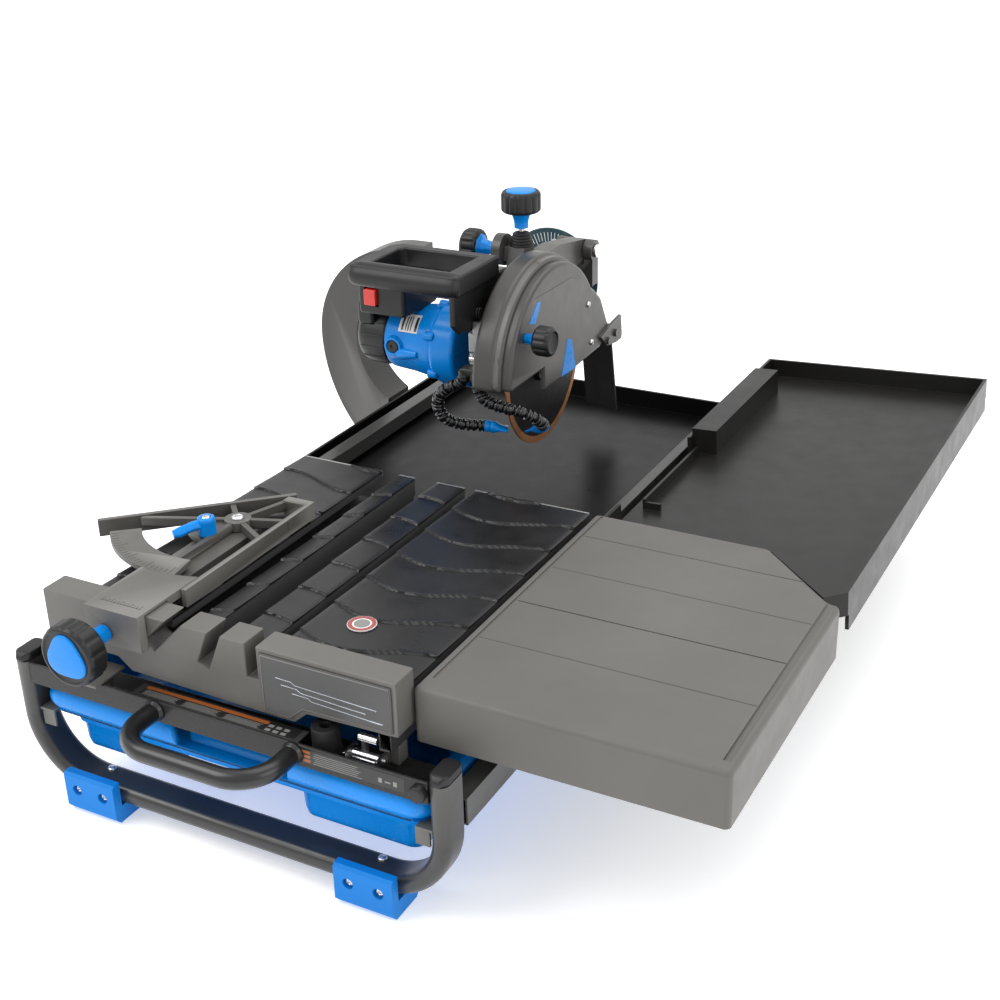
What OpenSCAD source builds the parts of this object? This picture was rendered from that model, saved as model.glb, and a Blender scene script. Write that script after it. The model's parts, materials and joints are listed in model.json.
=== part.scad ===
// Portable wet tile saw with a rolling table, a tilting and plunging saw head,
// a rip and mitre guide, an extension table, drip trays and a slide-out reservoir.
// Units: millimetres. X to the right, Y to the back, Z up from the floor.

/* [Frame] */
// Outside width of the two bent frame hoops
frame_w = 518; // [500:2:540]
// Height of the front cross bar above the floor
bar_top = 164; // [160:1:168]
// Outside radius of the hoops' lower bends
bend_r = 82; // [60:2:90]
// Thickness of the hoop tube, seen from the front
tube_t = 20; // [16:1:22]

/* [Tables] */
// Height of the extension table's top above the floor
table_h = 230; // [228:1:234]
// Width of the extension table
ext_w = 308; // [280:2:320]
// Height of the front fence above the table
fence_h = 16; // [12:1:20]
// Travel of the rolling table
table_travel = 600; // [400:10:600]

/* [Saw head] */
// Blade diameter
blade_d = 203.2; // [180:0.2:206]
// Blade thickness
blade_t = 2.2; // [1.6:0.1:2.6]
// Radius of the blade guard
guard_r = 133; // [126:1:136]
// Radius of the motor housing
motor_r = 39; // [34:1:40]

/* [Trays] */
// Height of the main tray's rim above the floor
tray_rim = 185; // [184:1:188]
// Tilt of the side tray, so that it drains into the main tray
side_tray_tilt = 3; // [2:0.5:3]

/* [Hidden] */
$fn = 96;

// Frame
half_w = frame_w / 2;
front_y = -47;
tube_d = 38;
frame_l = 932;
rear_y = front_y + frame_l;
hoop_bottom = 19;
rear_hoop_top = 146;
bar_h = 20;
bar_face_y = front_y + 2;
shelf_z = bar_top - bar_h - 4;
side_rail_z = 100;
side_rail_h = 30;
foot_x = 169;
foot_w = 66;
foot_screw_dx = 17;
foot_screw_z = 29;
pan_in = 26;
handle_r = 10;
handle_x = 10;
handle_half = 83;
handle_reach = 63;
handle_bend = 40;
socket_ys = [70, 330];
socket_z = 150;

// Slide rails and rollers
rail_top = 185;
rail_h = 20;
left_rail_x = -236;
right_rail_x = 173;
left_rail_w = 20;
right_rail_w = 14;
roller_r = 9.5;
roller_gap = 0.1;
roller_z = rail_top + roller_r + roller_gap;
roller_ys = [40, 270];
axle_r = 3;

// Rolling table
pad_t = 4;
pad_top = table_h - 1;
plate_top = pad_top - pad_t;
plate_bottom = plate_top - 20;
table_x0 = -198;
table_x1 = 193;
table_y0 = 8;
table_y1 = 404;
fence_y0 = -25;
fence_top = table_h + fence_h;
fence_x0 = -222;
fence_x1 = 198;

// Blade, arbor and motor
blade_x = 37;
blade_y = 600.7;
blade_z = 319.5;
blade_r = blade_d / 2;
arbor_r = 7.9;
flange_r = 22;
motor_y = 566;
motor_z = 342;
motor_x0 = -196;
brush_x = -133;
pinion_r = 8;
gear_r = 33;
gear_x = -62;

// Bevel pivot and plunge pivot
bevel_x = -40;
bevel_z = 370;
bevel_pin_r = 12;
arm_y0 = 700;
arm_y1 = 755;
plunge_y = 766;
plunge_z = 420;
plunge_pin_r = 6;
knuckle_r = 14;
arm_x0 = -6;
arm_x1 = 19;
depth_x = -15;
depth_y = 649;
stop_top = 412;

// Guard
guard_x0 = 20;
guard_x1 = 58;
guard_y = 597;
guard_z = 325;
wall = 4;

// Rip and mitre guide
guide_x0 = -156;
guide_x1 = -88;
guide_top = table_h + 20;
pivot_x = -136;
pivot_y = 189;
arc_r = 138;
lever_r = 43;
lever_angle = 258;
knob_x = -132;
knob_z = 224;

// Water hoses: radius of the ball joints, and their centres along each route
ball_r = 6.6;
left_route = [
    [-10, 484, 331], [-19, 483, 323], [-31, 482, 318], [-42, 482, 309], [-49, 484, 298], [-50, 487, 285],
    [-45, 490, 273], [-35, 494, 267], [-22, 499, 264], [-9, 505, 263], [2, 511, 262]
];
left_tip = [27, 523, 257];
right_route = [
    [6, 484, 331], [9, 483, 319], [16, 483, 309], [28, 484, 304], [41, 485, 302], [54, 485, 301],
    [66, 488, 298], [75, 496, 291], [80, 506, 282], [79, 517, 273]
];
right_tip = [54, 532, 257];

// Side tray: its left edge, and the underside there
side_tray_x = 199.5;
side_tray_z = 185.3;

// The whole model is centred on its own bounding box
size_x0 = -367;
size_x1 = 508;
size_y0 = -118;
size_y1 = 1014;

// ---------- shared shapes ----------

module placed() {
    translate([-(size_x0 + size_x1) / 2, -(size_y0 + size_y1) / 2, 0]) children();
}

module box(x0, x1, y0, y1, z0, z1) {
    translate([x0, y0, z0]) cube([x1 - x0, y1 - y0, z1 - z0]);
}

module rod_x(r, x0, x1, y, z) {
    translate([x0, y, z]) rotate([0, 90, 0]) cylinder(r = r, h = x1 - x0);
}

module rod_y(r, y0, y1, x, z) {
    translate([x, y0, z]) rotate([-90, 0, 0]) cylinder(r = r, h = y1 - y0);
}

module rod_z(r, z0, z1, x, y) {
    translate([x, y, z0]) cylinder(r = r, h = z1 - z0);
}

// A front-view outline, in X and Z, made solid from y0 to y1
module from_front(y0, y1) {
    translate([0, y1, 0]) rotate([90, 0, 0]) linear_extrude(y1 - y0) children();
}

// A side-view outline, in Y and Z, made solid from x0 to x1
module from_side(x0, x1) {
    translate([x0, 0, 0]) rotate([90, 0, 90]) linear_extrude(x1 - x0) children();
}

module disc_at(x, y, r) {
    translate([x, y]) circle(r = r);
}

// A ribbed hand knob standing on z = 0, with its grip from z = stem to z = stem + h
module hand_knob(r, h, stem, stem_r, lobes) {
    difference() {
        translate([0, 0, stem]) cylinder(r = r, h = h);
        for (i = [0 : lobes - 1]) {
            rotate([0, 0, i * 360 / lobes]) translate([r + 1.2, 0, stem - 1]) cylinder(r = 2.4, h = h + 2);
        }
    }
    cylinder(r1 = stem_r, r2 = stem_r + 3, h = stem);
}

// ---------- frame ----------

module u_outline(half, bottom, r, top) {
    translate([-half, bottom + r]) square([2 * half, top - bottom - r]);
    translate([-half + r, bottom]) square([2 * (half - r), r + 0.01]);
    intersection() {
        union() {
            disc_at(-half + r, bottom + r, r);
            disc_at(half - r, bottom + r, r);
        }
        translate([-half, bottom]) square([2 * half, r + 0.01]);
    }
}

module hoop_band(inset, top) {
    difference() {
        u_outline(half_w - inset, hoop_bottom + inset, bend_r - inset, top);
        u_outline(half_w - tube_t + inset, hoop_bottom + tube_t - inset, bend_r - tube_t + inset, top + 2);
    }
}

// One bent flat-oval tube, open at its two upper ends
module hoop(y0, top, screw_y, pan_y) {
    tube_wall = 1.6;
    difference() {
        from_front(y0, y0 + tube_d) hoop_band(0, top);
        from_front(y0 + tube_wall, y0 + tube_d - tube_wall) hoop_band(tube_wall, top + 1);
        for (x = [-foot_x, foot_x], dx = [-foot_screw_dx, foot_screw_dx]) {
            rod_y(3.1, screw_y - 4, screw_y + 4, x + dx, foot_screw_z);
        }
        for (x = [-foot_x, foot_x]) {
            rod_z(2.6, hoop_bottom - 1, hoop_bottom + tube_t + 1, x, pan_y);
        }
    }
}

module front_hoop() {
    color("#1b1c1e") hoop(front_y, bar_top, front_y, front_y + pan_in);
}

module rear_hoop() {
    color("#1b1c1e") hoop(rear_y - tube_d, rear_hoop_top, rear_y, rear_y - pan_in);
}

module side_rails() {
    wall_t = 2;
    color("#1b1c1e") {
        for (s = [-1, 1]) {
            x0 = s < 0 ? -half_w : half_w - tube_t;
            difference() {
                box(x0, x0 + tube_t, front_y + tube_d, rear_y - tube_d, side_rail_z, side_rail_z + side_rail_h);
                box(x0 + wall_t, x0 + tube_t - wall_t, front_y + tube_d - 1, rear_y - tube_d + 1,
                    side_rail_z + wall_t, side_rail_z + side_rail_h - wall_t);
            }
            // Posts: the left pair carries the main tray, the right pair the side tray
            for (y = [450, 780]) {
                box(x0 + 2, x0 + 18, y, y + 16, side_rail_z + side_rail_h, s < 0 ? tray_rim - 29 : side_tray_z + 2.1);
            }
        }
        // Cross bar under the main tray
        box(-half_w + 10, half_w - 10, 450, 466, 140, tray_rim - 29);
        // Sockets welded on the right-hand rail for the extension table's tubes
        for (y = socket_ys) {
            difference() {
                union() {
                    rod_x(12, half_w - tube_t, half_w + 42, y, socket_z);
                    box(half_w - tube_t, half_w, y - 6, y + 6, side_rail_z + side_rail_h, socket_z - 9.5);
                }
                rod_x(8.05, half_w - tube_t - 1, half_w + 43, y, socket_z);
            }
        }
    }
}

module front_bar() {
    inner = half_w - tube_t;
    color("#1b1c1e") {
        box(-inner, inner, bar_face_y, bar_face_y + 4, bar_top - bar_h, bar_top);
        box(-inner, inner, bar_face_y, 8, shelf_z, shelf_z + 4);
    }
}

module rear_bar() {
    inner = half_w - tube_t;
    color("#1b1c1e") difference() {
        box(-inner, inner, rear_y - 35, rear_y - 5, 126, tray_rim - 29);
        box(-inner - 1, inner + 1, rear_y - 33, rear_y - 7, 128, tray_rim - 31);
    }
}

module handle_corner() {
    rotate_extrude(angle = 90) translate([handle_bend, 0]) difference() {
        circle(r = handle_r);
        circle(r = handle_r - 2);
    }
}

module handle_tube(length) {
    difference() {
        cylinder(r = handle_r, h = length);
        translate([0, 0, -1]) cylinder(r = handle_r - 2, h = length + 2);
    }
}

// U-shaped carrying handle, bent from round tube, on the front bar
module carry_handle() {
    z = bar_top - handle_r;
    y_bend = bar_face_y - handle_reach + handle_bend;
    color("#18191b") {
        for (s = [-1, 1]) {
            translate([handle_x + s * handle_half, y_bend, z]) rotate([-90, 0, 0]) {
                handle_tube(bar_face_y - y_bend);
            }
        }
        translate([handle_x - handle_half + handle_bend, y_bend - handle_bend, z]) rotate([0, 90, 0]) {
            handle_tube(2 * (handle_half - handle_bend));
        }
        translate([handle_x - handle_half + handle_bend, y_bend, z]) rotate([0, 0, 180]) handle_corner();
        translate([handle_x + handle_half - handle_bend, y_bend, z]) rotate([0, 0, -90]) handle_corner();
    }
}

// Moulded cap on each upright, with bevelled corners
module hoop_cap(x, y0, z0) {
    intersection() {
        translate([x, y0 - 1, z0]) linear_extrude(10) polygon([
            [6, 0], [tube_t - 6, 0], [tube_t, 8], [tube_t, tube_d - 6], [tube_t - 6, tube_d + 2],
            [6, tube_d + 2], [0, tube_d - 6], [0, 8]
        ]);
        from_side(x - 1, x + tube_t + 1) polygon([
            [y0 - 1, z0], [y0 + tube_d + 1, z0], [y0 + tube_d + 1, z0 + 6], [y0 + tube_d - 4, z0 + 10],
            [y0 + 4, z0 + 10], [y0 - 1, z0 + 5]
        ]);
    }
}

module hoop_caps() {
    color("#232426") for (x = [-half_w, half_w - tube_t]) {
        hoop_cap(x, front_y, bar_top);
        hoop_cap(x, rear_y - tube_d, rear_hoop_top);
    }
}

// Rubber block that wraps the hoop's front and underside
module foot(x, face_y, s) {
    front = face_y - s * 11;
    gap = 0.1;
    difference() {
        translate([x - foot_w / 2, 0, 0]) rotate([90, 0, 90]) linear_extrude(foot_w) polygon([
            [front, 7], [front + s * 6, 0], [face_y + s * 32, 0], [face_y + s * 38, 7],
            [face_y + s * 38, hoop_bottom], [face_y - s * gap, hoop_bottom], [face_y - s * gap, 48],
            [front + s * 3, 48], [front, 45]
        ]);
        for (dx = [-foot_screw_dx, foot_screw_dx]) {
            translate([x + dx, face_y, foot_screw_z]) rotate([90 * s, 0, 0]) {
                translate([0, 0, -1]) cylinder(r = 3.1, h = 14);
                translate([0, 0, 6]) cylinder(r = 6, h = 6);
            }
        }
        translate([x, face_y + s * pan_in, 8]) cylinder(r = 2.6, h = 20);
    }
}

module rubber_feet() {
    color("#0f6fd6") for (x = [-foot_x, foot_x]) {
        foot(x, front_y, 1);
        foot(x, rear_y, -1);
    }
}

// Screws of the feet and bolts of the swan-neck arm's flange
module frame_screws() {
    color("silver") {
        for (x = [-foot_x, foot_x]) {
            for (dx = [-foot_screw_dx, foot_screw_dx]) {
                rod_y(5, front_y - 9, front_y - 6, x + dx, foot_screw_z);
                rod_y(3, front_y - 6.1, front_y + 12, x + dx, foot_screw_z);
                rod_y(5, rear_y + 6, rear_y + 9, x + dx, foot_screw_z);
                rod_y(3, rear_y - 12, rear_y + 6.1, x + dx, foot_screw_z);
            }
            for (y = [front_y + pan_in, rear_y - pan_in]) {
                rod_z(4.5, hoop_bottom + tube_t, hoop_bottom + tube_t + 3, x, y);
                rod_z(2.5, 10, hoop_bottom + tube_t + 0.1, x, y);
            }
        }
        for (y = [676, 779], z = [108, 122]) {
            rod_x(5, -half_w - 13.5, -half_w - 8.5, y, z);
        }
    }
}

// Angle strips inside the side rails, on which the reservoir's lip runs
module reservoir_runners() {
    inner = half_w - tube_t;
    top = 107.7;
    color("#4c4d4d") for (s = [-1, 1]) {
        x0 = s < 0 ? -inner : inner - 19;
        box(x0, x0 + 19, -40, 560, top - 3, top);
        // Tab at the front end, clear of the hoop's bend
        box(s < 0 ? x0 + 3 : x0, s < 0 ? x0 + 19 : x0 + 16, -40, -37, 88, top);
    }
}

// ---------- rails, stops and trays ----------

module main_tray() {
    x0 = -256;
    x1 = side_tray_x + 7.5;
    y0 = 430;
    y1 = rear_y;
    z0 = tray_rim - 29;
    color("#17181a") {
        difference() {
            box(x0, x1, y0, y1 + 3, z0, tray_rim);
            box(x0 + 4, x1 - 4, y0 + 4, y1 - 1, z0 + 4, tray_rim + 1);
            box(x0 - 1, x1 + 1, y0 - 1, y0 + 5, z0 + 9, tray_rim + 1);
            // Drain hole over the reservoir
            rod_z(10, z0 - 1, z0 + 5, 150, 495);
        }
        difference() {
            rod_z(13, z0 - 8, z0, 150, 495);
            rod_z(10, z0 - 9, z0 + 1, 150, 495);
        }
    }
}

module slide_rails() {
    color("#2a2b2d") {
        difference() {
            box(left_rail_x, left_rail_x + left_rail_w, -20, rear_y - 7, rail_top - rail_h, rail_top);
            box(left_rail_x + 2, left_rail_x + left_rail_w - 2, -21, rear_y - 6, rail_top - rail_h + 2, rail_top - 2);
        }
        difference() {
            box(right_rail_x, right_rail_x + right_rail_w, -20, rear_y - 7, rail_top - rail_h, rail_top);
            box(right_rail_x + 2, right_rail_x + right_rail_w - 2, -21, rear_y - 6,
                rail_top - rail_h + 2, rail_top - 2);
        }
    }
}

// Supports under both ends of the slide rails, and the plate at the left end of the bar
module rail_brackets() {
    rail_bottom = rail_top - rail_h;
    color("#8d8f90") {
        for (x = [left_rail_x, right_rail_x]) {
            w = x < 0 ? left_rail_w : right_rail_w;
            box(x, x + w, -8, 8, shelf_z + 4, rail_bottom);
            box(x, x + w, rear_y - 35, rear_y - 7, tray_rim - 25, rail_bottom);
        }
        box(-190, -140, bar_face_y - 9, bar_face_y + 36, bar_top, bar_top + 3);
        box(-176, -154, bar_face_y + 14, bar_face_y + 30, shelf_z + 4, bar_top);
    }
}

module travel_stop() {
    color("#1d1e20") difference() {
        union() {
            rod_z(14, shelf_z + 4, 176, 114, -20);
            rod_z(16, shelf_z + 4, shelf_z + 10, 114, -20);
        }
        rod_z(5, 160, 177, 114, -20);
    }
}

// Bent bracket that carries the table lock
module lock_bracket() {
    color("silver") {
        box(140, 178, -38, -10, shelf_z + 4, shelf_z + 7);
        box(140, 143, -32, -10, shelf_z + 4, 160);
        box(175, 178, -32, -10, shelf_z + 4, 160);
        rod_x(2.5, 138, 180, -20, 154);
    }
}

// Lever that locks the table for carrying, on the bracket's pin
module lock_lever() {
    color("silver") difference() {
        union() {
            rod_x(4.6, 145, 173, -20, 154);
            box(155, 159, -22, -16, 156, 176);
            rod_x(4, 152, 172, -19, 174);
        }
        rod_x(2.56, 144, 174, -20, 154);
    }
}

module side_tray_outline(inset) {
    e = inset;
    polygon([
        [side_tray_x + e, 408 + e], [407 - e * 0.4, 408 + e], [488, 327 + e * 1.4], [508 - e, 347 + e * 1.4],
        [508 - e, 1014 - e], [side_tray_x + e, 1014 - e]
    ]);
}

module side_tray() {
    rim = 27;
    drop = 19;
    x0 = side_tray_x;
    color("#17181a") translate([x0, 0, side_tray_z]) rotate([0, -side_tray_tilt, 0]) translate([-x0, 0, 0]) {
        difference() {
            linear_extrude(rim) side_tray_outline(0);
            translate([0, 0, 3]) linear_extrude(rim) side_tray_outline(4);
            // Open outlet at the left, over the main tray's rim
            box(x0 - 5, x0 + 11, 470, 690, 3, rim + 1);
        }
        // Outer skirts below the floor, at the right and at the back
        box(503.6, 507.6, 352, 1014, -drop, 0.5);
        box(232, 507.6, 1010, 1014, -drop, 0.5);
        // Raised hollow bar along the left edge
        difference() {
            box(x0 + 3, x0 + 36, 700, 945, 3, 36);
            box(x0 + 6, x0 + 33, 703, 942, -1, 33);
        }
        // Low ridges that steer the water
        box(x0 + 11.5, x0 + 15, 515, 690, 3, 16);
        box(x0 + 15, x0 + 34, 515, 519, 3, 12);
        // Lip that hooks over the main tray's rim
        box(x0 + 9, x0 + 12, 440, 860, -14, 0.5);
    }
}

// ---------- swan-neck arm ----------

module c_arm_outline() {
    cx = -231;
    cz = 272;
    // Upper quarter and level top end
    difference() {
        disc_at(cx, cz, 136);
        disc_at(cx, cz, 76);
        translate([cx, 0]) square([200, 500]);
        translate([cx - 200, 0]) square([400, cz]);
    }
    translate([cx - 0.01, cz + 76]) square([23, 60]);
    // Lower part, which ends in the foot beside the side rail
    difference() {
        disc_at(-144, cz, 223);
        disc_at(-208, cz, 99);
        translate([-400, cz]) square([600, 300]);
        translate([-400, 0]) square([600, 95]);
        translate([-half_w - 1, 0]) square([500, 400]);
    }
    // Reach to the bevel pivot
    translate([cx + 22, 348]) square([bevel_x - cx - 22, 38]);
    disc_at(bevel_x, bevel_z, 30);
}

module c_arm() {
    color("#6b6a66") difference() {
        union() {
            from_front(arm_y0, arm_y1) c_arm_outline();
            box(-half_w - 8.5, -half_w, 660, 795, 96, 134);
        }
        rod_y(bevel_pin_r + 0.03, arm_y0 - 1, arm_y1 + 1, bevel_x, bevel_z);
    }
}

module bevel_pin() {
    color("#b5b7b9") {
        rod_y(bevel_pin_r, arm_y0 - 4, 800, bevel_x, bevel_z);
        rod_y(18, arm_y0 - 8, arm_y0 - 0.2, bevel_x, bevel_z);
        difference() {
            translate([bevel_x, 787, bevel_z]) rotate([-90, 0, 0]) cylinder(r = 19, h = 9, $fn = 6);
            rod_y(bevel_pin_r - 0.01, 786, 797, bevel_x, bevel_z);
        }
    }
}

// Half disc with the bevel scale, fixed behind the tilting carrier
module bevel_scale() {
    color("#34474c") difference() {
        rod_y(68, 784, 786.5, bevel_x, bevel_z);
        rod_y(bevel_pin_r + 0.03, 783, 788, bevel_x, bevel_z);
        box(bevel_x - 80, bevel_x + 80, 783, 788, bevel_z - 80, bevel_z - 16);
    }
}

// ---------- water reservoir ----------

module water_reservoir() {
    x1 = half_w - tube_t - 4;
    lip_top = 137;
    lip_bottom = 108;
    front = bar_face_y + 16;
    back = 540;
    t = 3;
    color("#1479e0") difference() {
        union() {
            // Thick hollow lip
            box(-x1, x1, front, back, lip_bottom, lip_top);
            // Tub with two sumps
            box(-x1 + 18, x1 - 18, front + 8, back - 8, 84, lip_bottom);
            box(-x1 + 24, -90, front + 14, back - 14, 54, 84);
            box(70, x1 - 24, front + 14, back - 14, 54, 84);
        }
        box(-x1 + t, x1 - t, front + t, back - t, lip_bottom + t, lip_top + 1);
        box(-x1 + 18 + t, x1 - 18 - t, front + 8 + t, back - 8 - t, 84 + t, lip_top);
        box(-x1 + 24 + t, -90 - t, front + 14 + t, back - 14 - t, 54 + t, 90);
        box(70 + t, x1 - 24 - t, front + 14 + t, back - 14 - t, 54 + t, 90);
        // Finger recess in the front of the lip, behind the carrying handle
        box(-60, 80, front - 1, front + 2, lip_bottom + 6, lip_top + 1);
    }
}

module water_pump() {
    color("#2c2d2f") {
        box(110, 176, 150, 205, 57.5, 104);
        rod_z(7, 104, 122, 143, 190);
    }
}

// ---------- rolling table ----------

// Slot outlines in the table, seen from above
module table_slots(y0, y1) {
    translate([blade_x - 6.5, y0]) square([13, y1 - y0]);
    translate([-38, y0]) square([30, y1 - y0]);
    translate([-84, y0]) square([24, y1 - y0]);
}

module table_casting() {
    skirt = 18;
    slot_l = table_y1 - table_y0 + 2;
    color("#6f6e6a") difference() {
        union() {
            box(table_x0, table_x1, table_y0, table_y1, plate_bottom, plate_top);
            // Channels under the slots
            box(blade_x - 12, blade_x + 12, table_y0, table_y1 - 4, plate_bottom - 16, plate_bottom);
            box(-44, -2, table_y0, table_y1 - 4, plate_bottom - 18, plate_bottom);
            box(-128, -54, table_y0, table_y1 - 4, plate_bottom - 18, plate_bottom);
            // Skirts that hold the roller axles
            box(table_x0, table_x0 + 6, table_y0, table_y1, plate_bottom - skirt, plate_bottom);
            box(162, 168, table_y0, table_y1, plate_bottom - skirt, plate_bottom);
            box(189.5, table_x1, table_y0, table_y1, plate_bottom - skirt, plate_bottom);
        }
        translate([0, 0, plate_bottom - 12]) linear_extrude(60) {
            translate([blade_x - 6.5, table_y0 - 1]) square([13, slot_l]);
        }
        translate([0, 0, plate_bottom - 14]) linear_extrude(60) {
            translate([-38, table_y0 - 1]) square([30, slot_l]);
        }
        box(-84, -60, table_y0 - 1, table_y1 + 1, plate_bottom + 8, plate_top + 1);
        box(-122, -60, table_y0 - 1, table_y1 + 1, plate_bottom - 14, plate_bottom + 12);
        for (y = roller_ys) {
            rod_x(axle_r, table_x0 - 1, table_x0 + 7, y, roller_z);
            rod_x(axle_r, 161, table_x1 + 1, y, roller_z);
        }
    }
}

module table_pad() {
    color("#202123") translate([0, 0, plate_top]) linear_extrude(pad_t) difference() {
        translate([table_x0, table_y0 + 2]) square([table_x1 - table_x0, table_y1 - table_y0 - 2]);
        table_slots(table_y0, table_y1 + 1);
    }
}

// Notch that lets the blade run out through the fence at a bevel angle
module bevel_notch(top_x, angle, width, depth) {
    translate([top_x, fence_top]) rotate([0, 0, -angle]) translate([-width / 2, -depth]) {
        square([width, depth + 12]);
    }
}

module fence_rail() {
    low = 172;
    color("#77766f") difference() {
        from_front(fence_y0, table_y0) polygon([
            [fence_x0, fence_top], [fence_x0, 189], [-132, 189], [-116, 176], [60, low], [82, low],
            [97, 185], [fence_x1, 188], [fence_x1, fence_top]
        ]);
        from_front(fence_y0 - 1, table_y0 + 1) {
            bevel_notch(blade_x, 0, 13, 37);
            bevel_notch(-6, 22.5, 14, 42);
            bevel_notch(-55, 45, 14, 46);
        }
    }
}

module badge_plate() {
    color("#2e2f31") from_front(fence_y0 - 2, fence_y0) polygon([
        [48, 241], [48, 176], [79, 176], [95, 190], [194, 192], [194, 241]
    ]);
}

module roller_axles() {
    color("silver") for (y = roller_ys) {
        rod_x(axle_r, -240, table_x0 + 6, y, roller_z);
        rod_x(axle_r, 162, 193, y, roller_z);
    }
}

module roller_pair(y) {
    color("#38393b") difference() {
        union() {
            rod_x(roller_r, -234, -218, y, roller_z);
            rod_x(roller_r, 174, 186, y, roller_z);
        }
        rod_x(axle_r + 0.06, -235, 187, y, roller_z);
    }
}

module front_rollers() {
    roller_pair(roller_ys[0]);
}

module rear_rollers() {
    roller_pair(roller_ys[1]);
}

// ---------- rip and mitre guide ----------

module guide_block() {
    color("#7b7a75") difference() {
        union() {
            // Clamp body around the fence rail
            box(guide_x0, guide_x1, -37, 16, 231, guide_top);
            box(guide_x0, guide_x1, -37, -26, 210, 232);
            // Top plate, which ends in an arc under the graduated scale
            box(guide_x0, guide_x1, 15, 60, 240.5, guide_top);
            // Tongue that reaches back to the pivot
            box(pivot_x - 24, pivot_x + 24, 15, pivot_y, 231, 238);
            rod_z(24, 231, 238, pivot_x, pivot_y);
        }
        box(guide_x0 - 1, guide_x1 + 1, -26, 9, 209, 247);
        rod_z(arc_r + 1.5, 240, guide_top + 1, pivot_x, pivot_y);
        rod_y(4.05, -38, -25, knob_x, knob_z);
        rod_z(4.03, 230, 239, pivot_x, pivot_y);
        rod_z(3.2, 230, 239, pivot_x + lever_r * cos(lever_angle), pivot_y + lever_r * sin(lever_angle));
    }
}

module guide_knob() {
    translate([knob_x, -38, knob_z]) rotate([90, 0, 0]) {
        color("#1d1e20") hand_knob(25, 27, 32, 9, 14);
        color("#1479e0") translate([0, 0, 59]) cylinder(r = 20, h = 2);
    }
    color("silver") rod_y(4, -38.5, -25.3, knob_x, knob_z);
}

module pie(r, a0, a1) {
    n = 12;
    polygon(concat([[0, 0]], [for (i = [0 : n]) let(a = a0 + (a1 - a0) * i / n) [r * cos(a), r * sin(a)]]));
}

module ring_sector(r0, r1, a0, a1) {
    intersection() {
        difference() {
            circle(r = r1);
            circle(r = r0);
        }
        pie(r1 * 1.2, a0, a1);
    }
}

// Casting with a fence face parallel to the blade and one at 45 degrees
module miter_fence() {
    z0 = pad_top + 1.5;
    long_x = -272;
    long_y = 115;
    long_a = atan2(150, 162);
    color("#8a8983") {
        box(-87, -81, 29, 252, z0, guide_top);
        translate([long_x, long_y, z0]) rotate([0, 0, long_a]) cube([221, 6, guide_top - z0]);
        // Short nose where the two faces meet
        box(-116, -81, 246, 258, z0, guide_top);
        translate([pivot_x, pivot_y, 0]) {
            // Hub
            difference() {
                translate([0, 0, 239]) cylinder(r = 15, h = 10);
                translate([0, 0, 238]) cylinder(r = 4.06, h = 12);
            }
            // Graduated scale
            translate([0, 0, 243]) linear_extrude(6) ring_sector(104, arc_r, 219, 279);
            // Slotted arc for the lock lever
            translate([0, 0, 240]) linear_extrude(5) difference() {
                ring_sector(14.5, 56, 201, 272);
                ring_sector(38.8, 47.2, 208, 266);
            }
            // Webs from the hub to the two faces and to the scale
            for (a = [20, 70, 135, 203, 270, 330]) {
                rotate([0, 0, a]) translate([13, -3, 239.5]) {
                    cube([a == 203 || a == 270 ? 96 : (a == 135 ? 28 : (a == 70 ? 50 : 46)), 6, 9]);
                }
            }
        }
    }
}

module miter_pivot_screw() {
    color("silver") {
        rod_z(4, 230.4, 249.2, pivot_x, pivot_y);
        rod_z(7, 249.2, 252.5, pivot_x, pivot_y);
    }
}

module miter_lock_lever() {
    x = pivot_x + lever_r * cos(lever_angle);
    y = pivot_y + lever_r * sin(lever_angle);
    color("#1479e0") {
        rod_z(10, 249.2, 268, x, y);
        translate([x, y, 254]) rotate([0, 0, 236]) translate([4, -5, 0]) cube([34, 10, 9]);
    }
    color("silver") {
        rod_z(3, 230.6, 249.2, x, y);
        rod_z(4, 268, 270.5, x, y);
    }
}

// ---------- extension table ----------

module extension_outline(inset) {
    e = inset;
    x0 = 200;
    x1 = 200 + ext_w;
    polygon([
        [x0 + e, e], [x1 - e, e], [x1 - e, 315 - e * 0.41], [x1 - 14 - e, 318 - e * 0.41],
        [x1 - 104 - e * 0.41, 404 - e], [x0 + e, 404 - e]
    ]);
}

// Moulded top with ribs underneath
module extension_top() {
    depth = 58;
    cells_x = 4;
    cells_y = 5;
    t = 5;
    color("#7d7c77") difference() {
        union() {
            difference() {
                translate([0, 0, table_h - depth]) linear_extrude(depth) extension_outline(0);
                translate([0, 0, table_h - depth - 1]) linear_extrude(depth - 4) extension_outline(t);
            }
            intersection() {
                translate([0, 0, table_h - depth + 4]) linear_extrude(depth - 6) extension_outline(1);
                union() {
                    for (i = [1 : cells_x - 1]) {
                        box(200 + i * ext_w / cells_x - 2, 200 + i * ext_w / cells_x + 2, 1, 403, 172, table_h - 2);
                    }
                    for (j = [1 : cells_y - 1]) {
                        box(201, 199 + ext_w, j * 404 / cells_y - 2, j * 404 / cells_y + 2, 172, table_h - 2);
                    }
                }
            }
            // Saddles that clamp the two support tubes
            for (y = socket_ys, x = [330, 440]) {
                box(x - 6, x + 6, y - 13, y + 13, socket_z - 13, table_h - 3);
            }
        }
        for (y = socket_ys) {
            rod_x(8.02, 320, 452, y, socket_z);
        }
    }
}

module extension_tubes() {
    color("#1b1c1e") for (y = socket_ys) {
        difference() {
            rod_x(8, half_w - tube_t + 2, 470, y, socket_z);
            rod_x(6.4, half_w - tube_t + 1, 471, y, socket_z);
        }
    }
}

// ---------- tilting carrier ----------

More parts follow.
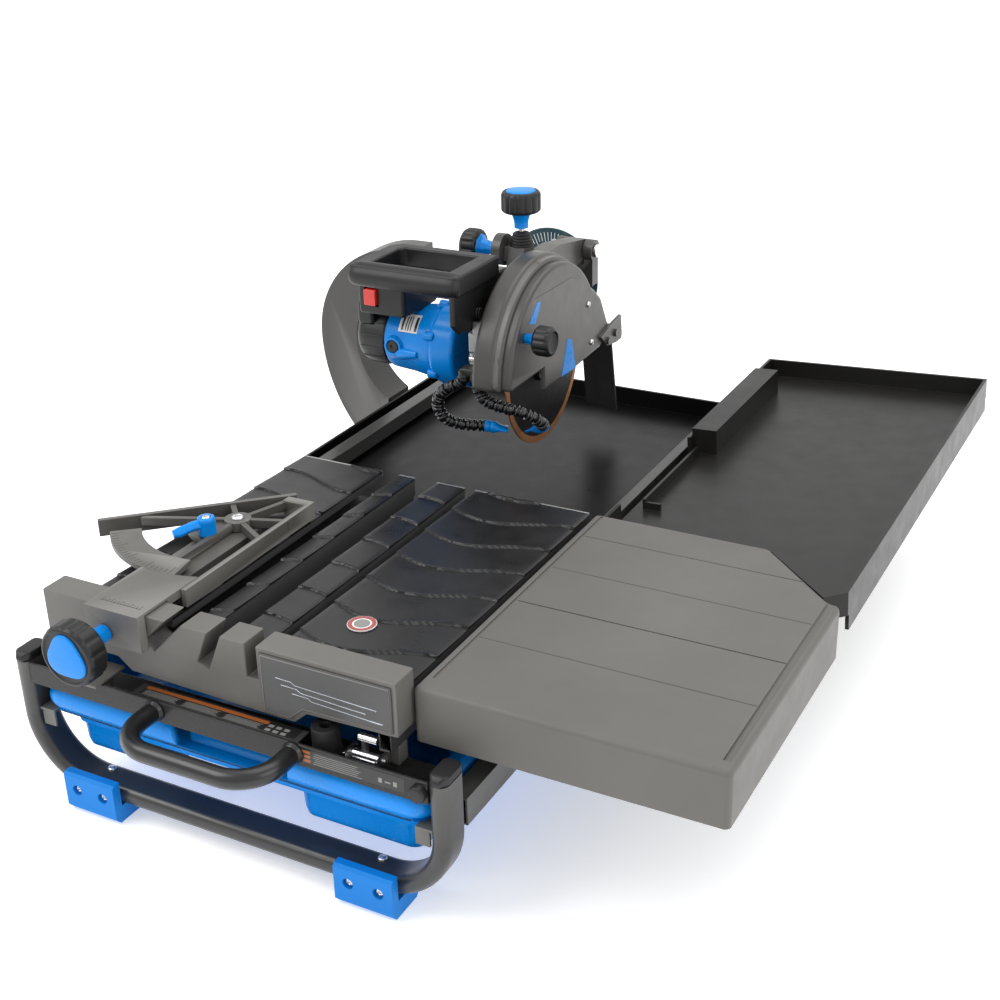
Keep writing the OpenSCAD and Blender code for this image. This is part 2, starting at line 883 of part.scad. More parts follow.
module tilt_carrier() {
    color("#5f5e5b") difference() {
        union() {
            from_front(757, 775) union() {
                disc_at(bevel_x, bevel_z, 34);
                polygon([
                    [bevel_x - 10, bevel_z - 20], [33, bevel_z + 4], [33, plunge_z], [20.5, plunge_z],
                    [20.5, 402], [-7.5, 402], [-7.5, plunge_z], [-24, plunge_z], [-24, 404]
                ]);
            }
            rod_x(knuckle_r, -20, -7.5, plunge_y, plunge_z);
            rod_x(knuckle_r, 20.5, 33, plunge_y, plunge_z);
            // Spacer that holds the bevel scale
            rod_y(20, 775, 784, bevel_x, bevel_z);
            // Tongue under the depth screw
            box(-24, -8, 640, 766, 404, stop_top);
        }
        rod_y(bevel_pin_r + 0.06, 756, 785, bevel_x, bevel_z);
        rod_x(plunge_pin_r, -25, 34, plunge_y, plunge_z);
    }
}

module plunge_pin() {
    color("silver") {
        rod_x(plunge_pin_r, -26, 35, plunge_y, plunge_z);
        rod_x(9, -29, -24.1, plunge_y, plunge_z);
        rod_x(9, 33.1, 37, plunge_y, plunge_z);
    }
}

// ---------- saw head ----------

// Cast arm from the plunge pivot to the arbor housing
module gearbox_arm() {
    color("#5f5e5b") difference() {
        union() {
            from_side(arm_x0, arm_x1) polygon([
                [plunge_y, 434], [690, 446], [612, 444], [578, 412], [560, 380], [562, 330], [640, 300],
                [668, 340], [694, 404.5], [plunge_y, 406]
            ]);
            rod_x(knuckle_r, arm_x0, arm_x1, plunge_y, plunge_z);
            // Arbor housing
            rod_x(44, -44, 6, blade_y, blade_z);
            rod_x(27, 6, guard_x0 + wall, blade_y, blade_z);
            // Boss of the depth screw
            box(-30, arm_x0 + 1, 635, 663, 424, 452);
            // Disc lug of the plunge lock
            rod_x(20, -44, -32, 640, 447);
            box(-33, -29, 632, 652, 434, 452);
        }
        rod_x(plunge_pin_r + 0.06, arm_x0 - 1, arm_x1 + 1, plunge_y, plunge_z);
        rod_x(arbor_r + 0.06, -21, guard_x0 + 6, blade_y, blade_z);
        rod_x(gear_r + 2.5, -45, -20, blade_y, blade_z);
        rod_z(4.06, 423, 453, depth_x, depth_y);
        rod_x(4.06, -45, -28, 640, 447);
    }
}

module motor_flange_outline(inset) {
    disc_at(motor_y, motor_z, 52 - inset);
    disc_at(blade_y, blade_z, 46 - inset);
}

// Blue housing: motor barrel and gear flange
module motor_housing() {
    color("#1479e0") difference() {
        union() {
            rod_x(motor_r + 3, -150, -78, motor_y, motor_z);
            from_side(-80, -44) motor_flange_outline(0);
            rod_y(12, motor_y - motor_r - 6, motor_y + motor_r + 6, brush_x, motor_z);
        }
        rod_x(motor_r - 4, -151, -84, motor_y, motor_z);
        from_side(-76, -43) motor_flange_outline(5);
        rod_x(9, -85, -75, motor_y, motor_z);
        rod_y(8.03, motor_y - motor_r - 7, motor_y + motor_r + 7, brush_x, motor_z);
    }
}

module motor_end_cap() {
    color("#222325") difference() {
        union() {
            rod_x(motor_r, motor_x0, -150, motor_y, motor_z);
            rod_x(motor_r - 4, -151, -146, motor_y, motor_z);
            // Switch box on top
            box(-172, -105, 508, 590, motor_z + motor_r + 4, 424);
            box(-190, -168, 530, 590, motor_z + 20, motor_z + motor_r + 10);
            box(-172, -168, 530, 590, motor_z + motor_r, motor_z + motor_r + 12);
        }
        rod_x(motor_r - 8, -189, -145, motor_y, motor_z);
        rod_x(5.06, -194, -188, motor_y, motor_z);
        // Window for the switch paddle
        box(-162, -142, 507, 540, 396, 420);
    }
}

module brush_caps() {
    color("#18191b") {
        rod_y(8, motor_y - motor_r - 5, motor_y - motor_r + 6, brush_x, motor_z);
        rod_y(8, motor_y + motor_r - 6, motor_y + motor_r + 5, brush_x, motor_z);
    }
}

module motor_armature() {
    color("#a9774a") {
        rod_x(5, -193.5, -60, motor_y, motor_z);
        rod_x(24, -128, -96, motor_y, motor_z);
        rod_x(14, -144, -132, motor_y, motor_z);
        rod_x(pinion_r, gear_x, gear_x + 12, motor_y, motor_z);
    }
}

module grip_outline(inset) {
    e = inset;
    polygon([
        [-150 + e, 455 + e], [e * -1, 455 + e], [e * -1, 565 - e], [-138 + e, 565 - e], [-150 + e, 553 - e]
    ]);
}

// Closed handle loop with the plate that carries it
module grip_handle() {
    color("#1d1e20") {
        difference() {
            translate([0, 0, 434]) linear_extrude(30) grip_outline(0);
            box(-128, -22, 485, 545, 433, 465);
        }
        from_side(-13, arm_x0) polygon([
            [458, 440], [565, 440], [612, 436], [612, 420], [556, 386], [520, 384], [470, 392], [458, 404]
        ]);
        // Strut down to the switch box
        box(-168, -128, 548, 562, 424, 436);
    }
}

module power_switch() {
    color("#e0251b") {
        box(-160.5, -143.5, 503, 530, 398, 418);
    }
}

module guard_outline(r) {
    difference() {
        disc_at(guard_y, guard_z, r);
        translate([400, 100]) square([400, 197]);
        translate([400, 100]) square([160, 226]);
    }
}

module guard_hollow() {
    r = guard_r - wall;
    difference() {
        disc_at(guard_y, guard_z, r);
        translate([400, 100]) square([60, 226]);
    }
    translate([guard_y - r + 8, 250]) square([2 * r - 20, 80]);
}

module blade_guard() {
    color("#6b6a66") difference() {
        union() {
            from_side(guard_x0, guard_x1) guard_outline(guard_r);
            from_side(guard_x0, guard_x1) {
                polygon([[690, 405], [716, 388], [735, 372], [763, 318], [728, 298], [640, 298], [640, 400]]);
            }
        }
        from_side(guard_x0 + wall, guard_x1 - wall) guard_hollow();
        rod_x(27, guard_x0 - 1, guard_x0 + wall + 1, blade_y, blade_z);
        rod_x(3.05, guard_x1 - wall - 1, guard_x1 + 1, 514, 382);
    }
}

module guard_knob() {
    translate([guard_x1 + 0.3, 514, 382]) rotate([0, 90, 0]) {
        color("#1d1e20") hand_knob(18, 22, 14, 6, 10);
    }
    color("silver") rod_x(3, guard_x1 - 14, guard_x1 + 1, 514, 382);
}

module rear_flap() {
    color("#151617") translate([0, 768, 300]) rotate([-8, 0, 0]) box(12, 56, -2, 2, -104, 0);
}

module flap_bracket() {
    color("#7a7974") {
        from_side(guard_x1, guard_x1 + 4) polygon([
            [722, 318], [756, 326], [786, 330], [790, 302], [788, 296], [770, 296], [742, 300]
        ]);
        box(10, guard_x1 + 4, 764, 768, 300.5, 322);
    }
    color("silver") {
        rod_x(5, guard_x1 + 4, guard_x1 + 7, 744, 306);
        rod_x(5, guard_x1 + 4, guard_x1 + 7, 768, 310);
    }
}

module depth_knob() {
    color("#1d1e20") translate([depth_x, depth_y, 475]) hand_knob(25, 27, 20, 10, 14);
    color("#1479e0") rod_z(19, 522, 524, depth_x, depth_y);
    color("silver") rod_z(4, stop_top + 0.3, 476, depth_x, depth_y);
}

module plunge_lock_knob() {
    translate([-44.3, 640, 447]) rotate([0, -90, 0]) {
        color("#1d1e20") hand_knob(22, 24, 30, 8, 12);
    }
    color("silver") rod_x(4, -45, -31, 640, 447);
}

module saw_blade() {
    color("#26272a") difference() {
        rod_x(blade_r, blade_x - blade_t / 2, blade_x + blade_t / 2, blade_y, blade_z);
        rod_x(arbor_r, blade_x - blade_t, blade_x + blade_t, blade_y, blade_z);
    }
}

module blade_arbor() {
    color("#b5b7b9") {
        rod_x(arbor_r, -66, 53, blade_y, blade_z);
        rod_x(flange_r, blade_x - blade_t / 2 - 5, blade_x - blade_t / 2, blade_y, blade_z);
        rod_x(flange_r, blade_x + blade_t / 2, blade_x + blade_t / 2 + 4, blade_y, blade_z);
        translate([blade_x + blade_t / 2 + 4, blade_y, blade_z]) rotate([0, 90, 0]) {
            cylinder(r = 14, h = 9, $fn = 6);
        }
        rod_x(gear_r, gear_x, gear_x + 12, blade_y, blade_z);
    }
}

// ---------- water hoses ----------

module hose_splitter() {
    color("#9a9c9e") {
        box(-12, 6, 499, 517, 359, 384);
        box(-6, 6, 499, 517, 383, 398);
    }
    color("#1d1e20") difference() {
        union() {
            rod_z(7.5, 340, 359, -4, 502);
            box(-13, 6, 477, 508, 336, 346);
            for (p = [left_route[0], right_route[0]]) {
                translate(p) cylinder(r = 7.8, h = 342 - p[2]);
            }
        }
        // Sockets over the first ball of each hose
        for (p = [left_route[0], right_route[0]]) {
            translate(p) sphere(r = ball_r + 0.3);
            translate([p[0], p[1], p[2] - 10]) cylinder(r = 9, h = 13.4);
        }
    }
}

function unit(v) = v / norm(v);

// Direction of a hose at joint i of its route; at the last joint it points at the nozzle's tip
function hose_way(route, i, tip) =
    i == 0 ? unit(route[1] - route[0]) :
    i == len(route) - 1 ? unit(tip - route[i]) :
    unit(unit(route[i + 1] - route[i]) + unit(route[i] - route[i - 1]));

// Rings [centre, direction, radius]: each link is a barrel between two necks
function hose_rings(route, tip) = concat(
    [for (i = [0 : len(route) - 2], s = i == 0 ? [[0, 4.4], [0.62, 4.4], [0.8, 6.4]] : [[0, 4.8], [0.2, 6.5], [0.8, 6.5]])
        [
            route[i] + s[0] * (route[i + 1] - route[i]),
            s[0] == 0 ? hose_way(route, i, tip) : unit(route[i + 1] - route[i]),
            s[1]
        ]],
    [[route[len(route) - 1], hose_way(route, len(route) - 1, tip), 5.4]]
);

// A modular hose: a ball in the splitter's socket, then its chain of links
module link_chain(route, tip) {
    rings = hose_rings(route, tip);
    sides = 10;
    last = len(rings) - 1;
    points = [
        for (r = rings, k = [0 : sides - 1])
            let(u = unit(cross(r[1], [0, 1, 0])), v = cross(r[1], u), a = 360 * k / sides)
            r[0] + r[2] * (cos(a) * u + sin(a) * v)
    ];
    walls = [
        for (i = [0 : last - 1], k = [0 : sides - 1], half = [0, 1])
            let(a = i * sides + k, b = i * sides + (k + 1) % sides)
            half == 0 ? [a, a + sides, b] : [b, a + sides, b + sides]
    ];
    caps = [[for (k = [0 : sides - 1]) k], [for (k = [sides - 1 : -1 : 0]) last * sides + k]];
    polyhedron(points, concat(walls, caps));
    translate(route[0]) rotate([90, 0, 0]) sphere(r = ball_r);
}

module nozzle(start, tip) {
    d = tip - start;
    translate(start) rotate([0, acos(d[2] / norm(d)), atan2(d[1], d[0])]) {
        cylinder(r1 = 4.6, r2 = 6, h = 4);
        translate([0, 0, 4]) cylinder(r = 6, h = norm(d) * 0.5 - 4);
        cylinder(r = 4, h = norm(d));
    }
}

module left_hose() {
    color("#141517") link_chain(left_route, left_tip);
}

module left_nozzle() {
    color("#1479e0") nozzle(left_route[len(left_route) - 1], left_tip);
}

module right_hose() {
    color("#141517") link_chain(right_route, right_tip);
}

module right_nozzle() {
    color("#1479e0") nozzle(right_route[len(right_route) - 1], right_tip);
}

// ---------- what is drawn ----------

placed() front_hoop();
placed() rear_hoop();
placed() side_rails();
placed() front_bar();
placed() rear_bar();
placed() carry_handle();
placed() hoop_caps();
placed() rubber_feet();
placed() frame_screws();
placed() reservoir_runners();
placed() main_tray();
placed() slide_rails();
placed() rail_brackets();
placed() travel_stop();
placed() lock_bracket();
placed() lock_lever();
placed() c_arm();
placed() bevel_pin();
placed() bevel_scale();
placed() water_reservoir();
placed() water_pump();
placed() table_casting();
placed() table_pad();
placed() fence_rail();
placed() badge_plate();
placed() roller_axles();
placed() front_rollers();
placed() rear_rollers();
placed() guide_block();
placed() guide_knob();
placed() miter_fence();
placed() miter_pivot_screw();
placed() miter_lock_lever();
placed() extension_top();
placed() extension_tubes();
placed() side_tray();
placed() tilt_carrier();
placed() plunge_pin();
placed() plunge_lock_knob();
placed() gearbox_arm();
placed() motor_housing();
placed() motor_end_cap();
placed() brush_caps();
placed() motor_armature();
placed() grip_handle();
placed() power_switch();
placed() blade_guard();
placed() guard_knob();
placed() rear_flap();
placed() flap_bracket();
placed() depth_knob();
placed() saw_blade();
placed() blade_arbor();
placed() hose_splitter();
placed() left_hose();
placed() left_nozzle();
placed() right_hose();
placed() right_nozzle();
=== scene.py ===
import json
from math import cos, exp, pi, radians, sin, sqrt
import bpy
import bmesh
from mathutils import Matrix, Vector


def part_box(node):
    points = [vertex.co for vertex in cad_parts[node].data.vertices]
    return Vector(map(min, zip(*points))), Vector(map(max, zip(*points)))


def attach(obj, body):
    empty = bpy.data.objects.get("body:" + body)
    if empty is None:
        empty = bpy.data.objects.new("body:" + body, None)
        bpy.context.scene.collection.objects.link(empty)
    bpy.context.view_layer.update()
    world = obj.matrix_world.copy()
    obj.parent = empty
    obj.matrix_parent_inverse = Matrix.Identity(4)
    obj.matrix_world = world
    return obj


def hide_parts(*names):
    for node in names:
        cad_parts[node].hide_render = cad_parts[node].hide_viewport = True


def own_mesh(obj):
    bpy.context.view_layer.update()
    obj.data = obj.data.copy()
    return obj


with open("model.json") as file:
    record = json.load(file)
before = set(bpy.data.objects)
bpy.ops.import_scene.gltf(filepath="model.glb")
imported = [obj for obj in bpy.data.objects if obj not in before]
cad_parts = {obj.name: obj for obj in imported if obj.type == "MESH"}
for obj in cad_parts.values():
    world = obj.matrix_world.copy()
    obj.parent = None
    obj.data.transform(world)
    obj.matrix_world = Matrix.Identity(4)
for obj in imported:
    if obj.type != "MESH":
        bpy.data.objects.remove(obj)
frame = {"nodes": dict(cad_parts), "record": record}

NODES = frame["nodes"]
BODY_OF = {n: b for b, members in frame["record"]["behaviour"]["bodies"].items() for n in members}
SLOT_OF = {s["node"]: s["material_slot"] for s in frame["record"]["subparts"]}
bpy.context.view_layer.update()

# The saw's own datum: x = 0 on the frame's centre line, y = 0 at the extension table's front edge,
# z = 0 on the floor, in millimetres.
HOOP_LOW, HOOP_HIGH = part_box("front_hoop")
X0 = (HOOP_LOW.x + HOOP_HIGH.x) / 2
Y0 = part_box("extension_top")[0].y


def P(x, y, z):
    """A point of the saw's datum, in millimetres, as a point of the row frame in metres."""
    return Vector((X0 + x / 1000, Y0 + y / 1000, z / 1000))


def mm(v):
    """A point in the row frame, back in millimetres from the saw's datum."""
    return Vector(((v.x - X0) * 1000, (v.y - Y0) * 1000, v.z * 1000))


# ---- camera
CAMERA_TURN, CAMERA_DOWN, CAMERA_ROLL = 28.505, 25.245, 1.495  # degrees, fitted to the photograph
CAMERA_PLACE = (834, -989, 969)
CAMERA_LENS, SENSOR = 54.16, 36


def make_camera():
    az, el, roll = (radians(v) for v in (CAMERA_TURN, CAMERA_DOWN, CAMERA_ROLL))
    right = Vector((cos(az), sin(az), 0))
    fwd = Vector((-sin(az) * cos(el), cos(az) * cos(el), -sin(el)))
    down = fwd.cross(right)
    r = cos(roll) * right + sin(roll) * down
    d = -sin(roll) * right + cos(roll) * down
    cam = bpy.data.cameras.new("camera")
    cam.sensor_width = SENSOR
    cam.lens = CAMERA_LENS
    cam.clip_start, cam.clip_end = 0.05, 30
    ob = bpy.data.objects.new("camera", cam)
    bpy.context.scene.collection.objects.link(ob)
    m = Matrix((r, -d, -fwd)).transposed().to_4x4()
    m.translation = P(*CAMERA_PLACE)
    ob.matrix_world = m
    bpy.context.scene.camera = ob


make_camera()


# ---- materials
class Nodes:
    """A short way to write a node tree."""

    def __init__(self, name):
        self.mat = bpy.data.materials.new(name)
        self.mat.use_nodes = True
        self.nt = self.mat.node_tree
        self.b = self.nt.nodes["Principled BSDF"]
        self.coord = None

    def new(self, kind, **k):
        n = self.nt.nodes.new("ShaderNode" + kind)
        for key, v in k.items():
            if key in n.inputs:
                n.inputs[key].default_value = v
            else:
                setattr(n, key, v)
        return n

    def put(self, sock, v):
        """Links a result to a socket, or sets its value. A colour of three gets its alpha."""
        if hasattr(v, "is_output"):
            self.nt.links.new(v, sock)
        elif isinstance(v, (int, float)) or len(v) == 4:
            sock.default_value = v
        else:
            sock.default_value = (*v, 1)

    def set(self, name, v):
        self.put(self.b.inputs[name], v)

    def obj(self, scale=(1, 1, 1)):
        self.coord = self.coord or self.new("TexCoord")
        m = self.new("Mapping", Scale=scale)
        self.put(m.inputs["Vector"], self.coord.outputs["Object"])
        return m.outputs["Vector"]

    def noise(self, scale, detail=3.0, rough=0.55, vec=None):
        n = self.new("TexNoise", Scale=scale, Detail=detail, Roughness=rough)
        self.put(n.inputs["Vector"], vec or self.obj())
        return n.outputs["Fac"]

    def remap(self, fac, a0, a1, b0, b1):
        m = self.new("MapRange", **{"From Min": a0, "From Max": a1, "To Min": b0, "To Max": b1})
        self.put(m.inputs["Value"], fac)
        return m.outputs["Result"]

    def mix(self, fac, a, b):
        m = self.new("Mix", data_type="RGBA", blend_type="MIX")
        m.clamp_factor = True
        for i, v in ((0, fac), (6, a), (7, b)):
            self.put(m.inputs[i], v)
        return m.outputs[2]

    def bump(self, height, strength, distance, normal=None):
        n = self.new("Bump", Strength=strength, Distance=distance)
        self.put(n.inputs["Height"], height)
        if normal:
            self.put(n.inputs["Normal"], normal)
        return n.outputs["Normal"]

    def gloss(self, spec, coat, coat_rough):
        self.set("Specular IOR Level", spec)
        self.set("Coat Weight", coat)
        self.set("Coat Roughness", coat_rough)

    def uneven(self, scale, detail, lo, hi):
        """A roughness that wanders between two values."""
        self.set("Roughness", self.remap(self.noise(scale, detail), 0.2, 0.8, lo, hi))

    def mottled(self, base, scale, detail, dark, light):
        """The colour, darker and lighter in soft blotches."""
        blotch = self.remap(self.noise(scale, detail), 0.3, 0.7, 0, 1)
        return self.mix(blotch, tone(base, dark), tone(base, light))

    def edges(self):
        """How much a convex edge is worn, from the mesh's own curvature."""
        g = self.new("NewGeometry")
        worn = self.remap(g.outputs["Pointiness"], 0.515, 0.60, 0.0, 1.0)
        half = self.new("Math", operation="MULTIPLY")
        self.put(half.inputs[0], worn)
        self.put(half.inputs[1], 0.55)
        return half.outputs[0]


def tone(c, k):
    return tuple(min(1.0, x * k) for x in c[:3])


def painted(name, base, rough=0.45, grain=900, grain_h=0.00006, wear=None, coat=0.0, spec=0.5):
    """Paint or powder coat on metal: fine orange-peel grain, a little mottling and dust."""
    m = Nodes(name)
    c = m.mottled(base, 9, 4, 0.90, 1.10)
    c = m.mix(m.remap(m.noise(420, 2), 0.25, 0.75, 0, 0.35), c, tone(base, 1.22))
    if wear:
        c = m.mix(m.edges(), c, wear)
    m.set("Base Color", c)
    m.uneven(60, 4, rough - 0.07, rough + 0.08)
    m.set("Metallic", 0.0)
    m.gloss(spec, coat, 0.25)
    n1 = m.bump(m.noise(grain, 2), 0.35, grain_h)
    m.set("Normal", m.bump(m.noise(grain * 0.22, 2), 0.18, grain_h * 3, n1))
    return m.mat


def plastic(name, base, rough=0.4, grain=1400, grain_h=0.00004, spec=0.5, coat=0.0, var=0.08):
    m = Nodes(name)
    c = m.mottled(base, 6, 3, 1 - var, 1 + var)
    m.set("Base Color", c)
    m.uneven(38, 5, rough - 0.05, rough + 0.07)
    m.gloss(spec, coat, 0.18)
    n1 = m.bump(m.noise(grain, 2), 0.3, grain_h)
    m.set("Normal", m.bump(m.noise(7, 2), 0.12, 0.0012, n1))
    return m.mat


def rubber(name, base, rough=0.62):
    m = Nodes(name)
    c = m.mottled(base, 14, 4, 0.8, 1.25)
    dust = m.remap(m.noise(160, 5, 0.7), 0.6, 0.85, 0, 0.14)
    m.set("Base Color", m.mix(dust, c, (0.08, 0.08, 0.08)))
    m.uneven(30, 5, rough - 0.1, rough + 0.1)
    m.set("Specular IOR Level", 0.4)
    m.set("Normal", m.bump(m.noise(1100, 2), 0.35, 0.00006))
    return m.mat


def metal(name, base, rough=0.3, brushed=None):
    m = Nodes(name)
    c = m.mottled(base, 18, 4, 0.94, 1.06)
    m.set("Base Color", c)
    m.set("Metallic", 1.0)
    m.uneven(70, 5, rough - 0.08, rough + 0.1)
    if brushed:
        v = m.obj(scale=brushed)
        m.set("Normal", m.bump(m.noise(260, 4, 0.6, v), 0.25, 0.00008))
    else:
        m.set("Normal", m.bump(m.noise(900, 2), 0.25, 0.00003))
    return m.mat


MAT = {}


def look(kind, name, base, **more):
    """Adds a material of this kind. more holds what differs from the kind's usual values."""
    MAT[name] = kind(name, base, **more)


look(painted, "frame_paint", (0.019, 0.018, 0.017),
     rough=0.32, grain=1300, coat=0.15, wear=(0.11, 0.11, 0.105))
look(painted, "cast_grey", (0.074, 0.071, 0.064),
     rough=0.44, grain=1100, grain_h=0.00008, wear=(0.24, 0.235, 0.22), spec=0.4)
look(painted, "head_grey", (0.04, 0.0385, 0.035),
     rough=0.36, grain=1100, grain_h=0.00007, wear=(0.16, 0.155, 0.15), coat=0.1, spec=0.4)
look(plastic, "black_plastic", (0.0085, 0.0085, 0.009), spec=0.38)
look(plastic, "tray_plastic", (0.003, 0.0029, 0.0029), rough=0.3, grain=1700, grain_h=0.00004, spec=0.22)
look(plastic, "grey_plastic", (0.104, 0.099, 0.091), rough=0.46, grain=1500, grain_h=0.00006, spec=0.4)
look(plastic, "blue_plastic", (0.0, 0.205, 0.64), rough=0.27, coat=0.08, var=0.05, spec=0.25)
look(plastic, "blue_rubber", (0.0, 0.175, 0.56), rough=0.5, var=0.08, spec=0.25)
look(rubber, "black_rubber", (0.01, 0.01, 0.011))
look(metal, "steel", (0.62, 0.61, 0.6), rough=0.28)
look(metal, "zinc", (0.7, 0.7, 0.71), rough=0.26)
look(metal, "blade_steel", (0.045, 0.045, 0.048), rough=0.42)
look(metal, "copper_iron", (0.5, 0.28, 0.16), rough=0.35)
look(painted, "scale_teal", (0.024, 0.058, 0.068), rough=0.3, coat=0.3)
look(painted, "badge_panel", (0.05, 0.05, 0.05), rough=0.4)
look(metal, "alu", (0.62, 0.62, 0.62), rough=0.34, brushed=(1, 1, 12))
look(plastic, "red_plastic", (0.62, 0.018, 0.01), rough=0.3, coat=0.2)
look(plastic, "handle_black", (0.006, 0.006, 0.0065), rough=0.3, coat=0.1, grain=900)
look(painted, "bar_paint", (0.0065, 0.006, 0.0058), rough=0.28, wear=(0.1, 0.1, 0.1), spec=0.2)
look(painted, "cast_black", (0.012, 0.012, 0.012), rough=0.5, wear=(0.08, 0.08, 0.08), spec=0.35)
look(rubber, "pad_rubber", (0.006, 0.006, 0.0066), rough=0.32)
# side_plastic is a lighter copy of the trays' black plastic: its lighter colour is a painted sheen, standing
# for the light the side tray reflects.
look(plastic, "side_plastic", (0.01, 0.0094, 0.0088), rough=0.34, grain=1700, spec=0.3)
look(plastic, "hose_black", (0.005, 0.005, 0.0055), rough=0.2, coat=0.3)
look(metal, "rim_copper", (0.55, 0.26, 0.12), rough=0.5)
look(metal, "alu_edge", (0.5, 0.5, 0.49), rough=0.35, brushed=(12, 1, 1))
look(metal, "chrome_line", (0.62, 0.66, 0.72), rough=0.18)
look(plastic, "print_black", (0.012, 0.012, 0.012), rough=0.35)
look(plastic, "print_orange", (0.3, 0.085, 0.018), rough=0.45)
look(plastic, "print_grey", (0.2, 0.2, 0.19), rough=0.5)
look(plastic, "print_white", (0.75, 0.75, 0.75), rough=0.5)
look(plastic, "sticker_white", (0.62, 0.62, 0.61))
look(plastic, "sticker_grey", (0.3, 0.06, 0.06))
look(metal, "dark_alu", (0.3, 0.3, 0.295), rough=0.42)

for n, o in NODES.items():
    mat = MAT[SLOT_OF[n]]
    for s in o.material_slots:
        s.material = mat
    if not o.material_slots:
        o.data.materials.append(mat)


# ---- building tools
def link(ob):
    bpy.context.scene.collection.objects.link(ob)
    return ob


def finish_mesh(bm, name, mat, smooth=35):
    me = bpy.data.meshes.new(name)
    bm.normal_update()
    bm.to_mesh(me)
    bm.free()
    me.materials.append(MAT[mat])
    for p in me.polygons:
        p.use_smooth = True
    if smooth:
        me.set_sharp_from_angle(angle=radians(smooth))
    return link(bpy.data.objects.new(name, me))


def bake(ob):
    """Applies the piece's modifiers."""
    dg = bpy.context.evaluated_depsgraph_get()
    me = bpy.data.meshes.new_from_object(ob.evaluated_get(dg))
    old = ob.data
    ob.modifiers.clear()
    ob.data = me
    if old.users == 0:
        bpy.data.meshes.remove(old)
    return ob


def bevelled(ob, width, segments=3, angle=30, smooth=35):
    m = ob.modifiers.new("bevel", "BEVEL")
    m.width = width / 1000
    m.segments = segments
    m.limit_method = "ANGLE"
    m.angle_limit = radians(angle)
    m.use_clamp_overlap = True
    m.harden_normals = False
    bake(ob)
    for p in ob.data.polygons:
        p.use_smooth = True
    return flatten_normals(ob, smooth)


def flatten_normals(ob, smooth=35):
    """Shades large flat faces flat, and turns only across the rounded edges."""
    ob.data.set_sharp_from_angle(angle=radians(smooth))
    m = ob.modifiers.new("normals", "WEIGHTED_NORMAL")
    m.keep_sharp = True
    return bake(ob)


def rounded(node, width, segments=3, mat=None):
    """A copy of a CAD node with its edges rounded, as they are moulded or cast, which stands for it."""
    bm = bmesh.new()
    bm.from_mesh(NODES[node].data)
    bmesh.ops.remove_doubles(bm, verts=bm.verts, dist=0.000004)
    bmesh.ops.dissolve_limit(bm, angle_limit=radians(0.6), verts=bm.verts, edges=bm.edges)
    ob = finish_mesh(bm, node + "_body", mat or SLOT_OF[node], None)
    bevelled(ob, width, segments)
    return settle(ob, node)


def rounded_all(**widths):
    for node, width in widths.items():
        rounded(node, width)


def settle(ob, node):
    """Rides with the node's body, and stands for it."""
    return rides(ob, BODY_OF[node], node)


# ---- shapes
# Directions, from where the user stands
RIGHT, LEFT, BACK, FRONT, UP = (1, 0, 0), (-1, 0, 0), (0, 1, 0), (0, -1, 0), (0, 0, 1)


def vec(v):
    return Vector(v)


def across(a):
    """Two directions square to a and to each other."""
    ref = vec(UP) if abs(a.z) < 0.9 else vec(RIGHT)
    u = (ref - a * ref.dot(a)).normalized()
    return u, a.cross(u)


def bm_ring(bm, pts):
    return [bm.verts.new(P(*p)) for p in pts]


def skin(bm, rings):
    """Quads between successive rings of the same count."""
    n = len(rings[0])
    for a, b in zip(rings, rings[1:]):
        for k in range(n):
            bm.faces.new((a[k], a[(k + 1) % n], b[(k + 1) % n], b[k]))


def solid(bm, rings, name, mat, smooth):
    """Closes the rings, capped at both ends, and makes the piece."""
    skin(bm, rings)
    cap(bm, rings)
    return closed(bm, name, mat, smooth)


def cap(bm, rings):
    bm.faces.new(rings[0])
    bm.faces.new(rings[-1][::-1])


def closed(bm, name, mat, smooth):
    bmesh.ops.recalc_face_normals(bm, faces=bm.faces)
    return finish_mesh(bm, name, mat, smooth)


def sweep(name, path, section, mat, v_axis=None, smooth=40, scale=None):
    """A section (u, v) carried along a path. v_axis keeps v fixed on a flat path."""
    bm = bmesh.new()
    path = [vec(p) for p in path]
    rings = []
    side = None
    for i, p in enumerate(path):
        t = (path[min(i + 1, len(path) - 1)] - path[max(i - 1, 0)]).normalized()
        if v_axis:
            v = vec(v_axis)
            u = t.cross(v).normalized()
        else:
            side = side or t.orthogonal().normalized()
            side = (side - t * side.dot(t)).normalized()
            u, v = side, t.cross(side)
        k = scale[i] if scale else 1.0
        rings.append(bm_ring(bm, [p + u * (a * k) + v * (b * k) for a, b in section]))
    return solid(bm, rings, name, mat, smooth)


def circle(r, n=32):
    return [(r * cos(2 * pi * k / n), r * sin(2 * pi * k / n)) for k in range(n)]


def rounded_rect(w, h, r, n=6):
    """Outline of a w by h rectangle with corner radius r, about (0, 0)."""
    out = []
    for cx, cy, a0 in ((w / 2 - r, h / 2 - r, 0), (-w / 2 + r, h / 2 - r, 90),
                       (-w / 2 + r, -h / 2 + r, 180), (w / 2 - r, -h / 2 + r, 270)):
        for k in range(n + 1):
            a = radians(a0 + 90 * k / n)
            out.append((cx + r * cos(a), cy + r * sin(a)))
    return out


def on_circle(centre, r, angles):
    """The points round centre at these angles, in degrees."""
    cu, cv = centre
    return [(cu + r * cos(radians(a)), cv + r * sin(radians(a))) for a in angles]


def arc(cx, cy, r, a0, a1, n):
    return on_circle((cx, cy), r, [a0 + (a1 - a0) * k / n for k in range(n + 1)])


PLANE = {"x": lambda a, b, h: (h, a, b), "z": lambda a, b, h: (a, b, h)}


